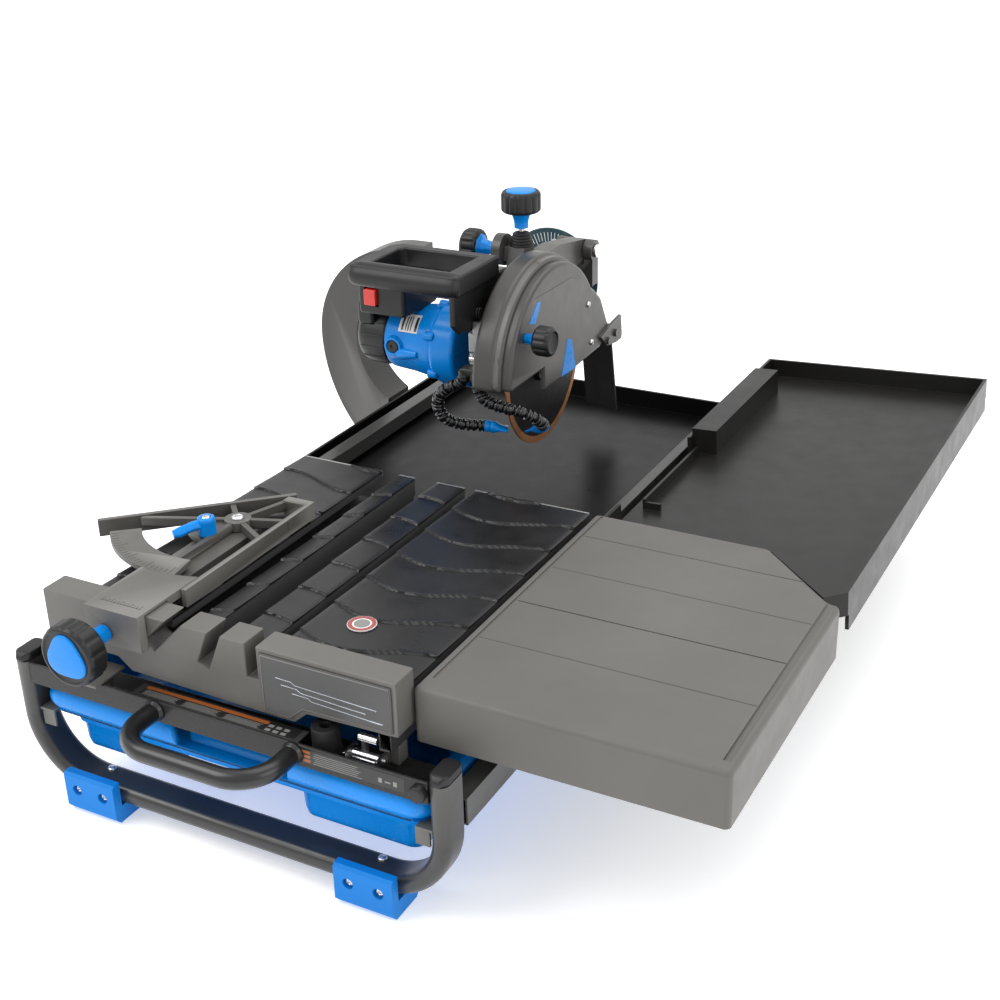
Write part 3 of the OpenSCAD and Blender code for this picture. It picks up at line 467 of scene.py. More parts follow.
def prism(name, outline, lo, hi, axis, mat, width=0, segments=2, smooth=35):
    """An outline in the plane across axis, from lo to hi, with bevelled edges."""
    bm = bmesh.new()
    put = PLANE[axis]
    low = bm_ring(bm, [put(a, b, lo) for a, b in outline])
    top = bm_ring(bm, [put(a, b, hi) for a, b in outline])
    ob = solid(bm, [low, top], name, mat, smooth)
    if width:
        bevelled(ob, width, segments, 30, smooth)
    return ob


def block(name, x0, x1, y0, y1, z0, z1, mat, width=0.8, segments=2):
    return prism(name, [(x0, y0), (x1, y0), (x1, y1), (x0, y1)], z0, z1, "z", mat, width, segments)


def lathe(name, origin, axis, profile, mat, segs, lobes=lambda t, r, h: r, smooth=35,
          hollow=False):
    """A profile [(radius, height)] turned about axis. lobes(angle, radius, height) changes the radius."""
    a = vec(axis).normalized()
    u, v = across(a)
    o = vec(origin)
    bm = bmesh.new()
    rings = []
    for r, h in profile:
        if r <= 0:
            rings.append([bm.verts.new(P(*(o + a * h)))])
            continue
        ring = []
        for k in range(segs):
            t = 2 * pi * k / segs
            q = lobes(t, r, h)
            ring.append(o + a * h + u * (q * cos(t)) + v * (q * sin(t)))
        rings.append(bm_ring(bm, ring))
    for p, q in zip(rings, rings[1:] + ([rings[0]] if hollow else [])):
        for k in range(segs):
            j = (k + 1) % segs
            if len(p) == 1:
                bm.faces.new((p[0], q[j], q[k]))
            elif len(q) == 1:
                bm.faces.new((p[k], p[j], q[0]))
            else:
                bm.faces.new((p[k], p[j], q[j], q[k]))
    for end in (rings[0], rings[-1][::-1]):
        if len(end) > 1 and not hollow:
            bm.faces.new(end)
    return closed(bm, name, mat, smooth)


def soft(points, r=1.0, n=3):
    """A profile with its inner corners rounded by r."""
    out = [points[0]]
    for a, b, c in zip(points, points[1:], points[2:]):
        va, vb, vc = Vector(a), Vector(b), Vector(c)
        la, lc = (va - vb).length, (vc - vb).length
        k = min(r, la * 0.45, lc * 0.45)
        if k < 0.05 or b[0] <= 0:
            out.append(b)
            continue
        p, q = vb + (va - vb).normalized() * k, vb + (vc - vb).normalized() * k
        for i in range(n + 1):
            t = i / n
            out.append(tuple((1 - t) ** 2 * p + 2 * t * (1 - t) * vb + t * t * q))
    out.append(points[-1])
    return out


def drop(ob):
    old = ob.data
    bpy.data.objects.remove(ob)
    bpy.data.meshes.remove(old)


def merge(name, obs):
    """Joins meshes into the first one."""
    bm = bmesh.new()
    mats = []
    for o in obs:
        slots = [s.material for s in o.material_slots]
        mats += [m for m in slots if m not in mats]
        start = len(bm.faces)
        bm.from_mesh(o.data)
        bm.faces.ensure_lookup_table()
        for f in bm.faces[start:]:
            f.material_index = mats.index(slots[f.material_index])
    me = bpy.data.meshes.new(name)
    bm.to_mesh(me)
    bm.free()
    for m in mats:
        me.materials.append(m)
    for o in obs:
        drop(o)
    return link(bpy.data.objects.new(name, me))


def boolean(ob, cutter, op="DIFFERENCE", smooth=35):
    m = ob.modifiers.new("cut", "BOOLEAN")
    m.operation = op
    m.solver = "EXACT"
    m.object = cutter
    bake(ob)
    drop(cutter)
    return flatten_normals(ob, smooth)


def rides(ob, body, node=None):
    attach(ob, body)
    if node:
        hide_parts(node)
    return ob


# ---- fasteners
def screw(name, at, axis, r, mat, h=2.4, hexagon=False):
    """Pan head with a cross recess, or a flanged hexagon head. at is the seat, axis points out."""
    if hexagon:
        flange, side = 1.1, pi / 3
        prof = soft(
            [(r * 1.25, 0), (r * 1.25, 0.9), (r, 1.2), (r, h), (r * 0.8, h + 0.5), (0, h + 0.5)], 0.3)
        return lathe(name, at, axis, prof, mat, 36, lobes=lambda t, q, k: (
            q if k < flange or q < r * 0.9 else q * 0.9 / cos((t % side) - side / 2)))
    prof = [(r, 0), (r, h * 0.35), (r * 0.93, h * 0.62), (r * 0.75, h * 0.84), (r * 0.45, h * 0.97), (0, h)]
    ob = lathe(name, at, axis, prof, mat, 28)
    a = vec(axis).normalized()
    u, v = across(a)
    bm = bmesh.new()
    # The cross recess: w is half a slot's width, L half its length, d its depth
    w, L, d = r * 0.13, r * 0.58, h * 0.55
    over = 0.2
    c = vec(at) + a * (h + over)
    pts = [(w, w), (L, w), (L, -w), (w, -w), (w, -L), (-w, -L),
           (-w, -w), (-L, -w), (-L, w), (-w, w), (-w, L), (w, L)]
    lo = bm_ring(bm, [c - a * (d + over) + u * (x * 0.6) + v * (y * 0.6) for x, y in pts])
    hi = bm_ring(bm, [c + u * x + v * y for x, y in pts])
    return boolean(ob, solid(bm, [lo, hi], "cross", mat, 35))


def knob_grip(r, ribs, depth, low, high):
    """Radius of a ribbed grip between two heights."""
    def f(t, q, h):
        if q < r * 0.9 or h < low or h > high:
            return q
        return q - depth * max(0.0, cos(t * ribs)) ** 2
    return f


def knob(name, at, axis, r, h, stem, stem_r, ribs, body, node, cap=True,
         triangle=False, flare=5):
    """Ribbed rim, blue cap and blue stem. at is the stem's foot, axis points out of the knob's face."""
    top = stem + h
    rim = lathe(name + "_rim", at, axis, soft([
        (stem_r + 1, stem - 1), (r - 3, stem), (r, stem + 3), (r, top - 4), (r - 2.5, top),
        (r - 5, top + 0.6), (r - 6, top - 1), (0, top - 1)], 1.2), "black_plastic", ribs * 8,
        lobes=knob_grip(r, ribs, 1.5, stem + 1.5, top - 1), smooth=45)
    rides(rim, body, node)
    hub = lathe(name + "_stem", at, axis, soft([
        (stem_r, 0), (stem_r, stem * 0.35), (stem_r + 0.8, stem * 0.55), (stem_r + 3, stem * 0.85),
        (stem_r + flare, stem + 0.5), (stem_r, stem + 1)], 1.0), "blue_plastic", 48,
        lobes=lambda t, q, k: q * (1 + 0.03 * cos(8 * t)) if k > 0 else q)
    rides(hub, body)
    if cap:
        lobe = 0.10 if triangle else 0
        rc = (r - 6) * (0.86 if triangle else 0.98)
        face = lathe(name + "_cap", at, axis, soft([
            (rc, top - 1.2), (rc, top + 0.2), (rc - 1.4, top + 1.4), (rc * 0.5, top + 2.2),
            (0, top + 2.4)], 0.8), "blue_plastic", 72,
            lobes=lambda t, q, k: q * (1 + lobe * cos(3 * t)), smooth=50)
        rides(face, body)


def raise_strip(bm, foot, up):
    """Adds a closed strip with this foot, as thick as up is long."""
    rings = [bm_ring(bm, foot), bm_ring(bm, [q + up for q in foot])]
    skin(bm, rings)
    cap(bm, rings)


def bars(name, frame3, items, thick, mat):
    """Thin bars on a plane. frame3 = (corner, u, v) and items = [(u0, v0, u1, v1)]."""
    c, u, v = (vec(q) for q in frame3)
    n = u.cross(v).normalized()
    bm = bmesh.new()
    for a0, b0, a1, b1 in items:
        corners = ((a0, b0), (a1, b0), (a1, b1), (a0, b1))
        raise_strip(bm, [c + u * a + v * b for a, b in corners], n * thick)
    return closed(bm, name, mat, 30)


def radial_bars(name, frame3, items, thick, mat):
    """Bars along radii. frame3 = (centre, u, v) and items = [(angle, r0, r1, half width)]."""
    c, u, v = (vec(q) for q in frame3)
    n = u.cross(v)
    bm = bmesh.new()
    for ang, r0, r1, hw in items:
        d = u * cos(radians(ang)) + v * sin(radians(ang))
        s = n.cross(d)
        foot = [c + d * r0 - s * hw, c + d * r1 - s * hw, c + d * r1 + s * hw, c + d * r0 + s * hw]
        raise_strip(bm, foot, n * thick)
    return closed(bm, name, mat, 30)


def hull(name, sizes, mat):
    """Rounded rectangles (x0, x1, y0, y1, radius, z) skinned into one solid."""
    bm = bmesh.new()
    rings = [bm_ring(bm, [((x0 + x1) / 2 + a, (y0 + y1) / 2 + b, z)
                          for a, b in rounded_rect(x1 - x0, y1 - y0, r, 8)])
             for x0, x1, y0, y1, r, z in sizes]
    return solid(bm, rings, name, mat, 50)


def inset(x0, x1, y0, y1, d, r, z):
    return (x0 + d, x1 - d, y0 + d, y1 - d, r, z)


# ---- frame
HOOP_BEND, HOOP_BEND_X, HOOP_BEND_Z, HOOP_SIDE = 72, 177, 101, 249
GRIP_LEFT, GRIP_RIGHT, GRIP_BACK, GRIP_BEND_Y, GRIP_Z = -73, 93, -45, -68, 154
GRIP_BEND, GRIP_TUBE = 40, 10
FOOT_X, FOOT_SCREW_GAP, FOOT_SCREW_Z = 169, 17, 29
LEDGE_CORNER = (-97, -40.2, 164.2)
BAR_FACE_Y = -45.0


def hoop(name, y, top, node):
    left = arc(-HOOP_BEND_X, HOOP_BEND_Z, HOOP_BEND, 180, 270, 24)
    right = arc(HOOP_BEND_X, HOOP_BEND_Z, HOOP_BEND, 270, 360, 24)
    path = [(-HOOP_SIDE, y, top)] + [(x, y, z) for x, z in left + right] + [(HOOP_SIDE, y, top)]
    ob = sweep(name, path, rounded_rect(20, 38, 9, 8), "frame_paint", v_axis=BACK)
    settle(ob, node)


def on_frame(ob):
    rides(ob, "frame")


def make_handle():
    bends = arc(GRIP_RIGHT - GRIP_BEND, GRIP_BEND_Y, GRIP_BEND, 0, -90, 20) + \
        arc(GRIP_LEFT + GRIP_BEND, GRIP_BEND_Y, GRIP_BEND, -90, -180, 20)
    grip = [(GRIP_RIGHT, GRIP_BACK, GRIP_Z), (GRIP_RIGHT, GRIP_BEND_Y, GRIP_Z)] + \
           [(x, y, GRIP_Z) for x, y in bends] + [(GRIP_LEFT, GRIP_BACK, GRIP_Z)]
    tube = sweep("carry_handle_tube", grip, circle(GRIP_TUBE, 40), "handle_black")
    settle(tube, "carry_handle")
    profile = soft([(11.8, 0), (11.8, 2.5), (11, 4), (10.2, 6)], 0.6) + [(10.0, 6.2)]
    collars = [lathe("collar", (x, GRIP_BACK + 0.2, GRIP_Z), FRONT, profile, "handle_black", 40)
               for x in (GRIP_LEFT, GRIP_RIGHT)]
    on_frame(merge("handle_collars", collars))


def make_frame_screws():
    heads = []
    for x in (-FOOT_X, FOOT_X):
        for dx in (-FOOT_SCREW_GAP, FOOT_SCREW_GAP):
            for y, out in ((-53, FRONT), (891, BACK)):
                heads.append(screw("s", (x + dx, y, FOOT_SCREW_Z), out, 5, "zinc"))
        for y in (-21, 859):
            heads.append(screw("s", (x, y, 39), UP, 4.6, "zinc"))
    for y in (676, 779):
        for z in (108, 122):
            heads.append(screw("s", (-267.5, y, z), LEFT, 5.2, "zinc", hexagon=True, h=4.2))
    settle(merge("frame_screw_heads", heads), "frame_screws")


def make_bar_marks():
    """A ledge behind the bar's top edge, with plain strips and lines where the printing was."""
    on_frame(block("bar_ledge", -104, 96, -41.2, -22, 162.2, 164, "bar_paint", 0.5))
    on_frame(block("ledge_strip", -97, 90, -40.2, -23, 163.9, 164.2, "print_black", 0.1, 1))
    ledge = (LEDGE_CORNER, RIGHT, BACK)
    on_frame(bars("ledge_band", ledge, [(1, 10.6, 150, 15.4)], 0.12, "print_orange"))
    rows = [(x0 + 1 + (r % 2) * 1.5, 0.9 + 1.45 * r, x0 + w - (r * 7 % 5), 1.5 + 1.45 * r)
            for x0, w in ((2, 44), (52, 44), (102, 44)) for r in range(6)]
    rows += [(152 + 9 * i, 1.5 + 6.5 * j, 158 + 9 * i, 5.5 + 6.5 * j) for i in (0, 1, 2) for j in (0, 1)]
    on_frame(bars("ledge_lines", ledge, rows, 0.12, "print_grey"))
    face = ((99, BAR_FACE_Y, 146), RIGHT, UP)
    on_frame(bars("face_strip", face, [(0, 0, 116, 15.5)], 0.15, "print_black"))
    face = ((99, BAR_FACE_Y - 0.15, 146), RIGHT, UP)
    rows = [(2, 1.6 + 4.8 * j, 13, 4.6 + 4.8 * j) for j in (0, 1, 2)]
    on_frame(bars("face_band", face, rows, 0.12, "print_orange"))
    rows = [(16 + (r % 3), 1.4 + 2.2 * r, 70 - (r * 5 % 7), 2.0 + 2.2 * r) for r in range(6)]
    rows += [(88, 4, 92, 9), (95, 5.5, 101, 7), (104, 4, 108, 9)]
    on_frame(bars("face_lines", face, rows, 0.12, "print_grey"))


def make_frame():
    hoop("front_hoop_tube", -28, 164, "front_hoop")
    hoop("rear_hoop_tube", 866, 146, "rear_hoop")
    make_handle()
    rounded_all(side_rails=2, rear_bar=2)
    rounded("front_bar", 1.2, mat="bar_paint")
    rounded_all(hoop_caps=2.2, rubber_feet=3, reservoir_runners=0.8, main_tray=1.4, slide_rails=2,
                rail_brackets=1, travel_stop=1.6)
    rounded("lock_bracket", 0.9, segments=2)
    rounded("lock_lever", 0.8, segments=2)
    rounded("extension_tubes", 0.5, segments=1)
    make_frame_screws()
    make_bar_marks()
    pivot = soft([(8.5, 0), (8.5, 8), (7, 9.5), (0, 9.5)], 1.2)
    on_frame(lathe("bar_pivot", (231, -44, 153), FRONT, pivot, "black_plastic", 40))


# ---- reservoir
TUB_HALF, TUB_FRONT, TUB_BACK = 217, -19, 530
LIP_HALF, LIP_FRONT, LIP_BACK = 235, -41, 540
LIP_BEND, LIP_HEIGHT, LIP_MIDDLE = 11, 14.4, 122.5
SUMPS = ((-211, -90), (70, 211))
SUMP_FRONT, SUMP_BACK = -15, 526


def lip_ring(a):
    """The tub's rolled lip, seen in section, at the angle a."""
    inward = LIP_BEND * (1 - cos(radians(a)))
    z = LIP_MIDDLE + LIP_HEIGHT * sin(radians(a))
    return inset(-LIP_HALF, LIP_HALF, LIP_FRONT, LIP_BACK, inward, 24, z)


def make_reservoir():
    blue = "blue_plastic"
    floor = (-TUB_HALF, TUB_HALF, TUB_FRONT, TUB_BACK)
    body = hull("reservoir_tub", [
        inset(*floor, 4, 14, 84), inset(*floor, 0.6, 17, 87),
        (-219, 219, -20, 532, 18, 104), (-221, 221, -22, 533, 18, 106.5), (-229, 229, -36, 537, 20, 107.6),
        ] + [lip_ring(a) for a in range(-76, 91, 12)], blue)
    for a, b in SUMPS:
        ends = (a, b, SUMP_FRONT, SUMP_BACK)
        sump = [inset(*ends, 5, 12, 54), inset(*ends, 1.5, 15, 57), inset(*ends, 0, 16, 64),
                (a - 1, b + 1, SUMP_FRONT - 1, SUMP_BACK + 1, 16, 86)]
        boolean(body, hull("sump", sump, blue), "UNION")
    core = hull("core", [(-211, 211, -9, 524, 14, 88), (-212, 212, -9, 525, 14, 118),
                         (-213, 213, -9, 526, 14, 132), (-217, 217, -12, 530, 16, 138)], blue)
    boolean(body, core)
    for a, b in SUMPS:
        ends = (a, b, SUMP_FRONT, SUMP_BACK)
        boolean(body, hull("pit", [inset(*ends, 6, 10, 58), inset(*ends, 4, 12, 90)], blue))
    # Finger recess in the front of the lip
    recess = hull("recess", [(-58, 78, -60, -24, 8, 112), (-64, 84, -60, -20, 10, 150)], blue)
    boolean(body, recess, smooth=50)
    settle(body, "water_reservoir")
    rounded("water_pump", 3)
    ribs = [block("rib", 116 + 9 * i, 119 + 9 * i, 148.6, 151, 66, 98, "black_plastic", 0.5)
            for i in range(7)]
    rides(merge("pump_grille", ribs), "reservoir")


# ---- tables
PAD_STRIPS = ((-198, -84), (-60, -38), (-8, 30.5), (43.5, 193))
PAD_FRONT, PAD_LENGTH, PAD_STEPS, PAD_CELL = 10, 394, 420, 3.2
PAD_FOOT, PAD_FACE, PAD_RISE = 225.1, 226.9, 1.8
PANEL_FIRST, PANEL_STEP = 45, 60.7
WAVE_DEPTH, WAVE_LENGTH, WAVE_START = 13.5, 188, 187
TABLE_TOP = 230
FENCE_PANEL_Y = -27
STICKER = (95, 80)


def rib_wave(x):
    return WAVE_DEPTH * cos(2 * pi * (x + WAVE_START) / WAVE_LENGTH)


def pad_height(x, y):
    """Each panel of the pad rises towards the front and steps down at a wavy rib."""
    best = 0.0
    for i in range(-1, 8):
        d = y - (PANEL_FIRST + PANEL_STEP * i + rib_wave(x))
        if -1.0 <= d < PANEL_STEP:
            t = d / PANEL_STEP
            ridge = exp(-((d - 1.1) / 0.9) ** 2)
            best = max(best, (1 - t) ** 1.5 * PAD_RISE + 0.6 * ridge if d >= 0 else 0.0)
    return best


def make_pad():
    bm = bmesh.new()
    ys = [PAD_FRONT + PAD_LENGTH * k / PAD_STEPS for k in range(PAD_STEPS + 1)]
    for x0, x1 in PAD_STRIPS:
        nx = max(4, int((x1 - x0) / PAD_CELL))
        cols = []
        for i in range(nx + 1):
            x = x0 + (x1 - x0) * i / nx
            edge = 0.55 if i in (0, nx) else 0.0
            cols.append([bm.verts.new(P(x, y, PAD_FACE + pad_height(x, y) - edge)) for y in ys])
        for a, b in zip(cols, cols[1:]):
            for k in range(len(ys) - 1):
                bm.faces.new((a[k], b[k], b[k + 1], a[k + 1]))
        rim = cols[0][:] + [c[-1] for c in cols[1:]] + cols[-1][:-1][::-1] + [c[0] for c in cols[1:-1]][::-1]
        low = [bm.verts.new((q.co.x, q.co.y, PAD_FOOT / 1000)) for q in rim]
        for k in range(len(rim)):
            bm.faces.new((rim[k], rim[(k + 1) % len(rim)], low[(k + 1) % len(rim)], low[k]))
        bm.faces.new(low)
    settle(closed(bm, "table_pad_strips", "pad_rubber", 50), "table_pad")


def make_panel_lines():
    """A raised border and a plain line ornament on the panel under the fence."""
    y = FENCE_PANEL_Y
    pts = [(50, 239), (50, 178), (78.5, 178), (94.5, 191.8), (192, 193.6), (192, 239), (50, 239)]
    border = sweep("panel_border", [(a, y, b) for a, b in pts], circle(0.7, 8), "cast_grey", v_axis=BACK)
    rides(border, "table")
    y -= 0.1
    for i, (a, b, z) in enumerate(((66, 178, 219), (72, 166, 212.5), (84, 184, 206))):
        path = [(a, y, z), (a + 18, y, z - 0.2), (a + 22, y, z - 3), (b - 20, y, z - 5.5), (b, y, z - 6)]
        line = sweep("panel_line_%d" % i, path, circle(0.55, 8), "chrome_line", v_axis=BACK)
        rides(line, "table")


def make_sticker():
    """A plain ring in place of the printed warning."""
    low, high = (*STICKER, 227.9), (*STICKER, 229.05)
    disc = [(15, 0), (15, 1.1), (14.6, 1.2), (0, 1.2)]
    ring = [(10, 0), (10, 0.15), (14.4, 0.15), (14.4, 0)]
    core = [(8.2, 0), (8.2, 0.15), (0, 0.15)]
    for ob in (lathe("pad_sticker", low, UP, disc, "sticker_white", 48),
               lathe("pad_sticker_ring", high, UP, ring, "sticker_grey", 48, hollow=True),
               lathe("pad_sticker_core", high, UP, core, "print_grey", 40)):
        rides(ob, "table")


def make_table():
    make_pad()
    rounded("table_casting", 1.2, mat="cast_black")
    rounded("fence_rail", 1.6)
    rounded("badge_plate", 0.7, segments=2)
    rounded("roller_axles", 0.4, segments=1)
    rounded_all(front_rollers=1, rear_rollers=1)
    # Bright edge of the casting behind the pads
    edges = [block("e", a, b, 404.1, 406.4, 221, 227.4, "alu_edge", 0.5)
             for a, b in ((-196, -84), (-60, -38), (-8, 30.5), (43.5, 191))]
    rides(merge("table_rear_edge", edges), "table")
    make_panel_lines()
    make_sticker()


def make_extension():
    ob = rounded("extension_top", 3.4, segments=4)
    # Grooves across the top, and a channel down each side, as (x0, x1, y0, y1, depth).
    # They stay clear of each other, because a cutter that crosses itself empties the piece.
    cuts = [(213.4, 493.2, y - 0.9, y + 0.9, 0.9) for y in (106, 186, 266, 346)]
    cuts += [(209, 212.5, 22, 398, 1.2), (494, 501.5, 16, 318, 2.2)]
    bm = bmesh.new()
    for x0, x1, y0, y1, deep in cuts:
        foot = [Vector((x, y, TABLE_TOP - deep)) for x, y in ((x0, y0), (x1, y0), (x1, y1), (x0, y1))]
        raise_strip(bm, foot, Vector((0, 0, deep + 1)))
    boolean(ob, closed(bm, "grooves", "grey_plastic", 30))
    # Moulded rounding of the outer corners and the top edge
    lo, hi = (mm(q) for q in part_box("extension_top"))
    out = [(lo.x, lo.y), (hi.x, lo.y), (hi.x, 315), (494, 318), (404, hi.y), (lo.x, hi.y)]
    out = [(x + (0.06 if x > 350 else -0.06), y + (0.06 if y > 200 else -0.06)) for x, y in out]
    mould = prism("moulded", out, 150, TABLE_TOP + 0.05, "z", "grey_plastic", 6.5, 6)
    boolean(ob, mould, "INTERSECT")
    # The side tray takes the lighter copy of the tray plastic, whose lighter colour is a painted sheen.
    rounded("side_tray", 1.5, mat="side_plastic")


# ---- guide
MITER_PIVOT = (-136, 189)
LEVER_REACH, LEVER_PLACE, LEVER_AIM = 43, 258, 236  # mm from the pivot, and degrees


def make_guide():
    rounded_all(guide_block=2.6, miter_fence=1.3)
    marks = [(219 + 3 + i * 2.7, 136 - (13 if i % 5 == 0 else 7), 136, 0.5) for i in range(21)]
    scale = radial_bars("miter_scale_marks", ((*MITER_PIVOT, 248.9), RIGHT, BACK), marks, 0.15,
                        "print_black")
    rides(scale, "miter")
    rows = [(8, 14, 60, 14.8)] + \
           [(10 + 4 * i, 14.8, 10.6 + 4 * i, 18.5 if i % 3 else 21) for i in range(13)]
    index = bars("guide_index", ((-156, -36, 249.9), RIGHT, BACK), rows, 0.15, "print_black")
    rides(index, "guide")
    knob("guide_knob", (-132, -38.4, 224), FRONT, 33, 25, 30, 9, 14, "guide_clamp", "guide_knob",
         triangle=True)
    x, y = on_circle(MITER_PIVOT, LEVER_REACH, [LEVER_PLACE])[0]
    a = radians(LEVER_AIM)
    blue = "blue_plastic"
    hub = lathe("miter_lever_hub", (x, y, 246), UP, soft(
        [(9, 0), (10, 1.5), (10, 18), (9, 21), (5.5, 22), (5.2, 19.5), (0, 19.5)], 1.2), blue, 48)
    settle(hub, "miter_lock_lever")
    spine = ((5, 259), (14, 259.5), (22, 258), (30, 256), (38, 255.4))
    path = [(x + cos(a) * d, y + sin(a) * d, z) for d, z in spine]
    arm = sweep("miter_lever_arm", path, rounded_rect(9.5, 10.5, 3, 4), blue,
                scale=[1.05, 1, 0.98, 1.08, 0.8])
    rides(arm, "miter_clamp")
    rides(screw("miter_lever_screw", (x, y, 265.4), UP, 5, "zinc", h=3), "miter_clamp")
    head = screw("miter_pivot_head", (*MITER_PIVOT, 249.2), UP, 7, "zinc", h=3.2)
    settle(head, "miter_pivot_screw")


# ---- saw head
def on_head(ob):
    rides(ob, "head")


BEVEL_PIVOT = (-40, 783.9, 370)
MOTOR = (566, 342)  # y and z of the motor's axis
ARBOR = (600.7, 319.5)  # y and z of the blade's axis
GUARD = (597, 325)  # y and z of the middle of the guard's rim


def make_stand():
    rounded("c_arm", 7, segments=4)
    rounded("bevel_pin", 0.8)
    rounded("bevel_scale", 0.5, segments=1)
    marks = [(a, 50 if i % 3 else 44, 62, 0.5) for i, a in enumerate(range(-5, 190, 5))]
    scale = radial_bars("bevel_scale_marks", (BEVEL_PIVOT, RIGHT, UP), marks, 0.15, "print_white")
    rides(scale, "carrier")
    rounded_all(tilt_carrier=2.4, plunge_pin=0.8, gearbox_arm=4)


def make_housing():
    """Blue housing: a barrel that swells towards the flange, and the flange round both shafts."""
    blue, black = "blue_plastic", "black_plastic"
    y, z = MOTOR
    barrel = lathe("motor_barrel", (0, y, z), RIGHT, soft([
        (33, -150), (38, -150), (40.5, -148), (41.5, -138), (43, -118), (45.5, -100), (47, -84), (47, -70),
        (33, -70)], 1.2), blue, 96, hollow=True, smooth=50)
    outline = on_circle(MOTOR, 52, range(36, 262, 6)) + on_circle(ARBOR, 46, range(250, 396, 6))
    flange = prism("flange", outline, -80, -44, "x", blue, 6, 4, 45)
    profile = soft(
        [(15, 0), (13.2, 13), (12, 15), (12, 16.5), (9, 16.8), (8.6, 15), (8.6, 4)], 0.8)
    boss = [lathe("boss", (-133, y + s * 30, z), (0, s, 0), profile, blue, 48, smooth=50) for s in (-1, 1)]
    ear = [sweep("ear", [(-138, y - 34, 330), (-120, y - 40, 334), (-98, y - 44, 336)],
                 circle(9, 24), blue, scale=[0.9, 1, 0.5])]
    profile = soft([(6, 0), (6, 10), (5, 12)], 1) + [(0, 12)]
    lugs = [lathe("lug", (-84, *p), RIGHT, profile, blue, 24)
            for p in on_circle(MOTOR, 50, (95, 155, 215, 265))]
    settle(merge("motor_housing_body", [barrel, flange] + boss + ear + lugs), "motor_housing")
    profile = soft([(8, -6), (8, 0.6), (7, 1.4), (2.4, 1.4), (2.2, 0.3), (0, 0.3)], 0.5)
    caps = [lathe("cap", (-133, y + s * 45, z), (0, s, 0), profile, black, 36) for s in (-1, 1)]
    settle(merge("brush_cap_pair", caps), "brush_caps")


def make_motor_end():
    """Black motor end, with long ribs, vents and the switch box on top."""
    black = "black_plastic"
    y, z = MOTOR
    end = lathe("motor_end", (0, y, z), RIGHT, soft([
        (0, -196), (22, -196), (31, -194), (36.5, -188), (38.5, -180), (39, -152), (37.4, -150),
        (37.4, -147), (0, -147)], 3.5, 4), black, 96, smooth=50)
    ribs = []
    for a in range(120, 265, 24):
        path = [(x, *on_circle(MOTOR, r, [a])[0])
                for x, r in ((-186, 37.2), (-180, 38.6), (-160, 39.1), (-154, 38.6))]
        ribs.append(sweep("r", path, circle(1.1, 10), black))
    for slat in range(326, 359, 8):
        ribs.append(block("r", -197.4, -195, 550, 582, slat - 1.5, slat + 1.5, black, 0.7))
    box = [block("b", -172, -105, 508, 590, 385, 424, black, 5, 4),
           block("b", -190, -166, 530, 590, 362, 392, black, 5, 4)]
    boolean(box[0], block("w", -162, -142, 500, 540, 396, 420, black, 1), smooth=45)
    settle(merge("motor_end_body", [end] + ribs + box), "motor_end_cap")


def make_motor_label():
    """A plain plate with bars where the printing was."""
    top = [(-112, *p) for p in on_circle(MOTOR, 45.2, range(122, 158, 4))]
    plate = sweep("motor_label", top, rounded_rect(0.6, 30, 0.2, 2), "sticker_white", v_axis=RIGHT)
    on_head(plate)
    over = on_circle(MOTOR, 45.6, range(127, 154, 4))
    lines = [sweep("l", [(x, *p) for p in over], rounded_rect(0.5, w, 0.1, 2), "print_black",
                   v_axis=RIGHT)
             for x, w in ((-122, 2.5), (-117, 1.2), (-113.5, 1.2), (-110, 1.2), (-103, 3.5))]
    on_head(merge("motor_label_lines", lines))


def make_motor():
    rounded("power_switch", 1.4)
    rounded("motor_armature", 0.4, segments=1)
    make_housing()
    make_motor_end()
    make_motor_label()


def make_grip():
    black = "black_plastic"
    out = [(-150, 460), (-6, 460), (-2, 464), (-2, 565), (-138, 565), (-150, 553)]
    loop = prism("grip_loop", out, 438, 463, "z", black)
    hole = [(-130, 482), (-24, 482), (-24, 549), (-124, 549), (-130, 543)]
    boolean(loop, prism("hole", hole, 430, 470, "z", black))
    bevelled(loop, 6.5, 5, 40, 45)
    oval = [(15.5 * cos(radians(a)), 13.6 * sin(radians(a))) for a in range(0, 360, 9)]
    path = [(x, 469, 450.5) for x in (-151, -149.5, -146, -138, -16, -8, -4, -2.5)]
    bar = sweep("bar", path, oval, black, scale=[0.6, 0.82, 0.95, 1, 1, 0.95, 0.85, 0.6], smooth=50)
    out = [(458, 440), (565, 440), (612, 436), (612, 420), (556, 386), (520, 384), (470, 392), (458, 404)]
    plate = prism("plate", out, -13, -6, "x", black, 1.8, 3)
    out = [(462, 444), (560, 444), (552, 430), (512, 426), (478, 432)]
    side = prism("side", out, -30, -10, "x", black, 3, 3)
    strut = block("strut", -168, -128, 548, 562, 423, 442, black, 3, 3)
    settle(merge("grip_handle_loop", [loop, bar, plate, side, strut]), "grip_handle")
    on_head(screw("grip_screw", (-13, 492, 394), LEFT, 4.6, "zinc"))


def guard_outline(r, grow=0.0):
    """The guard from the side, with a rim of radius r and the flat edges pulled in by grow."""
    front, rear = 326, 297
    return [(GUARD[0] - r, front)] + on_circle(GUARD, r, range(177, 30, -3)) + [
        (716 - grow, 388 - grow), (735 - grow, 372 - grow), (763 - grow, 318), (728, 298 + grow),
        (640, rear), (560, rear), (560, front)]


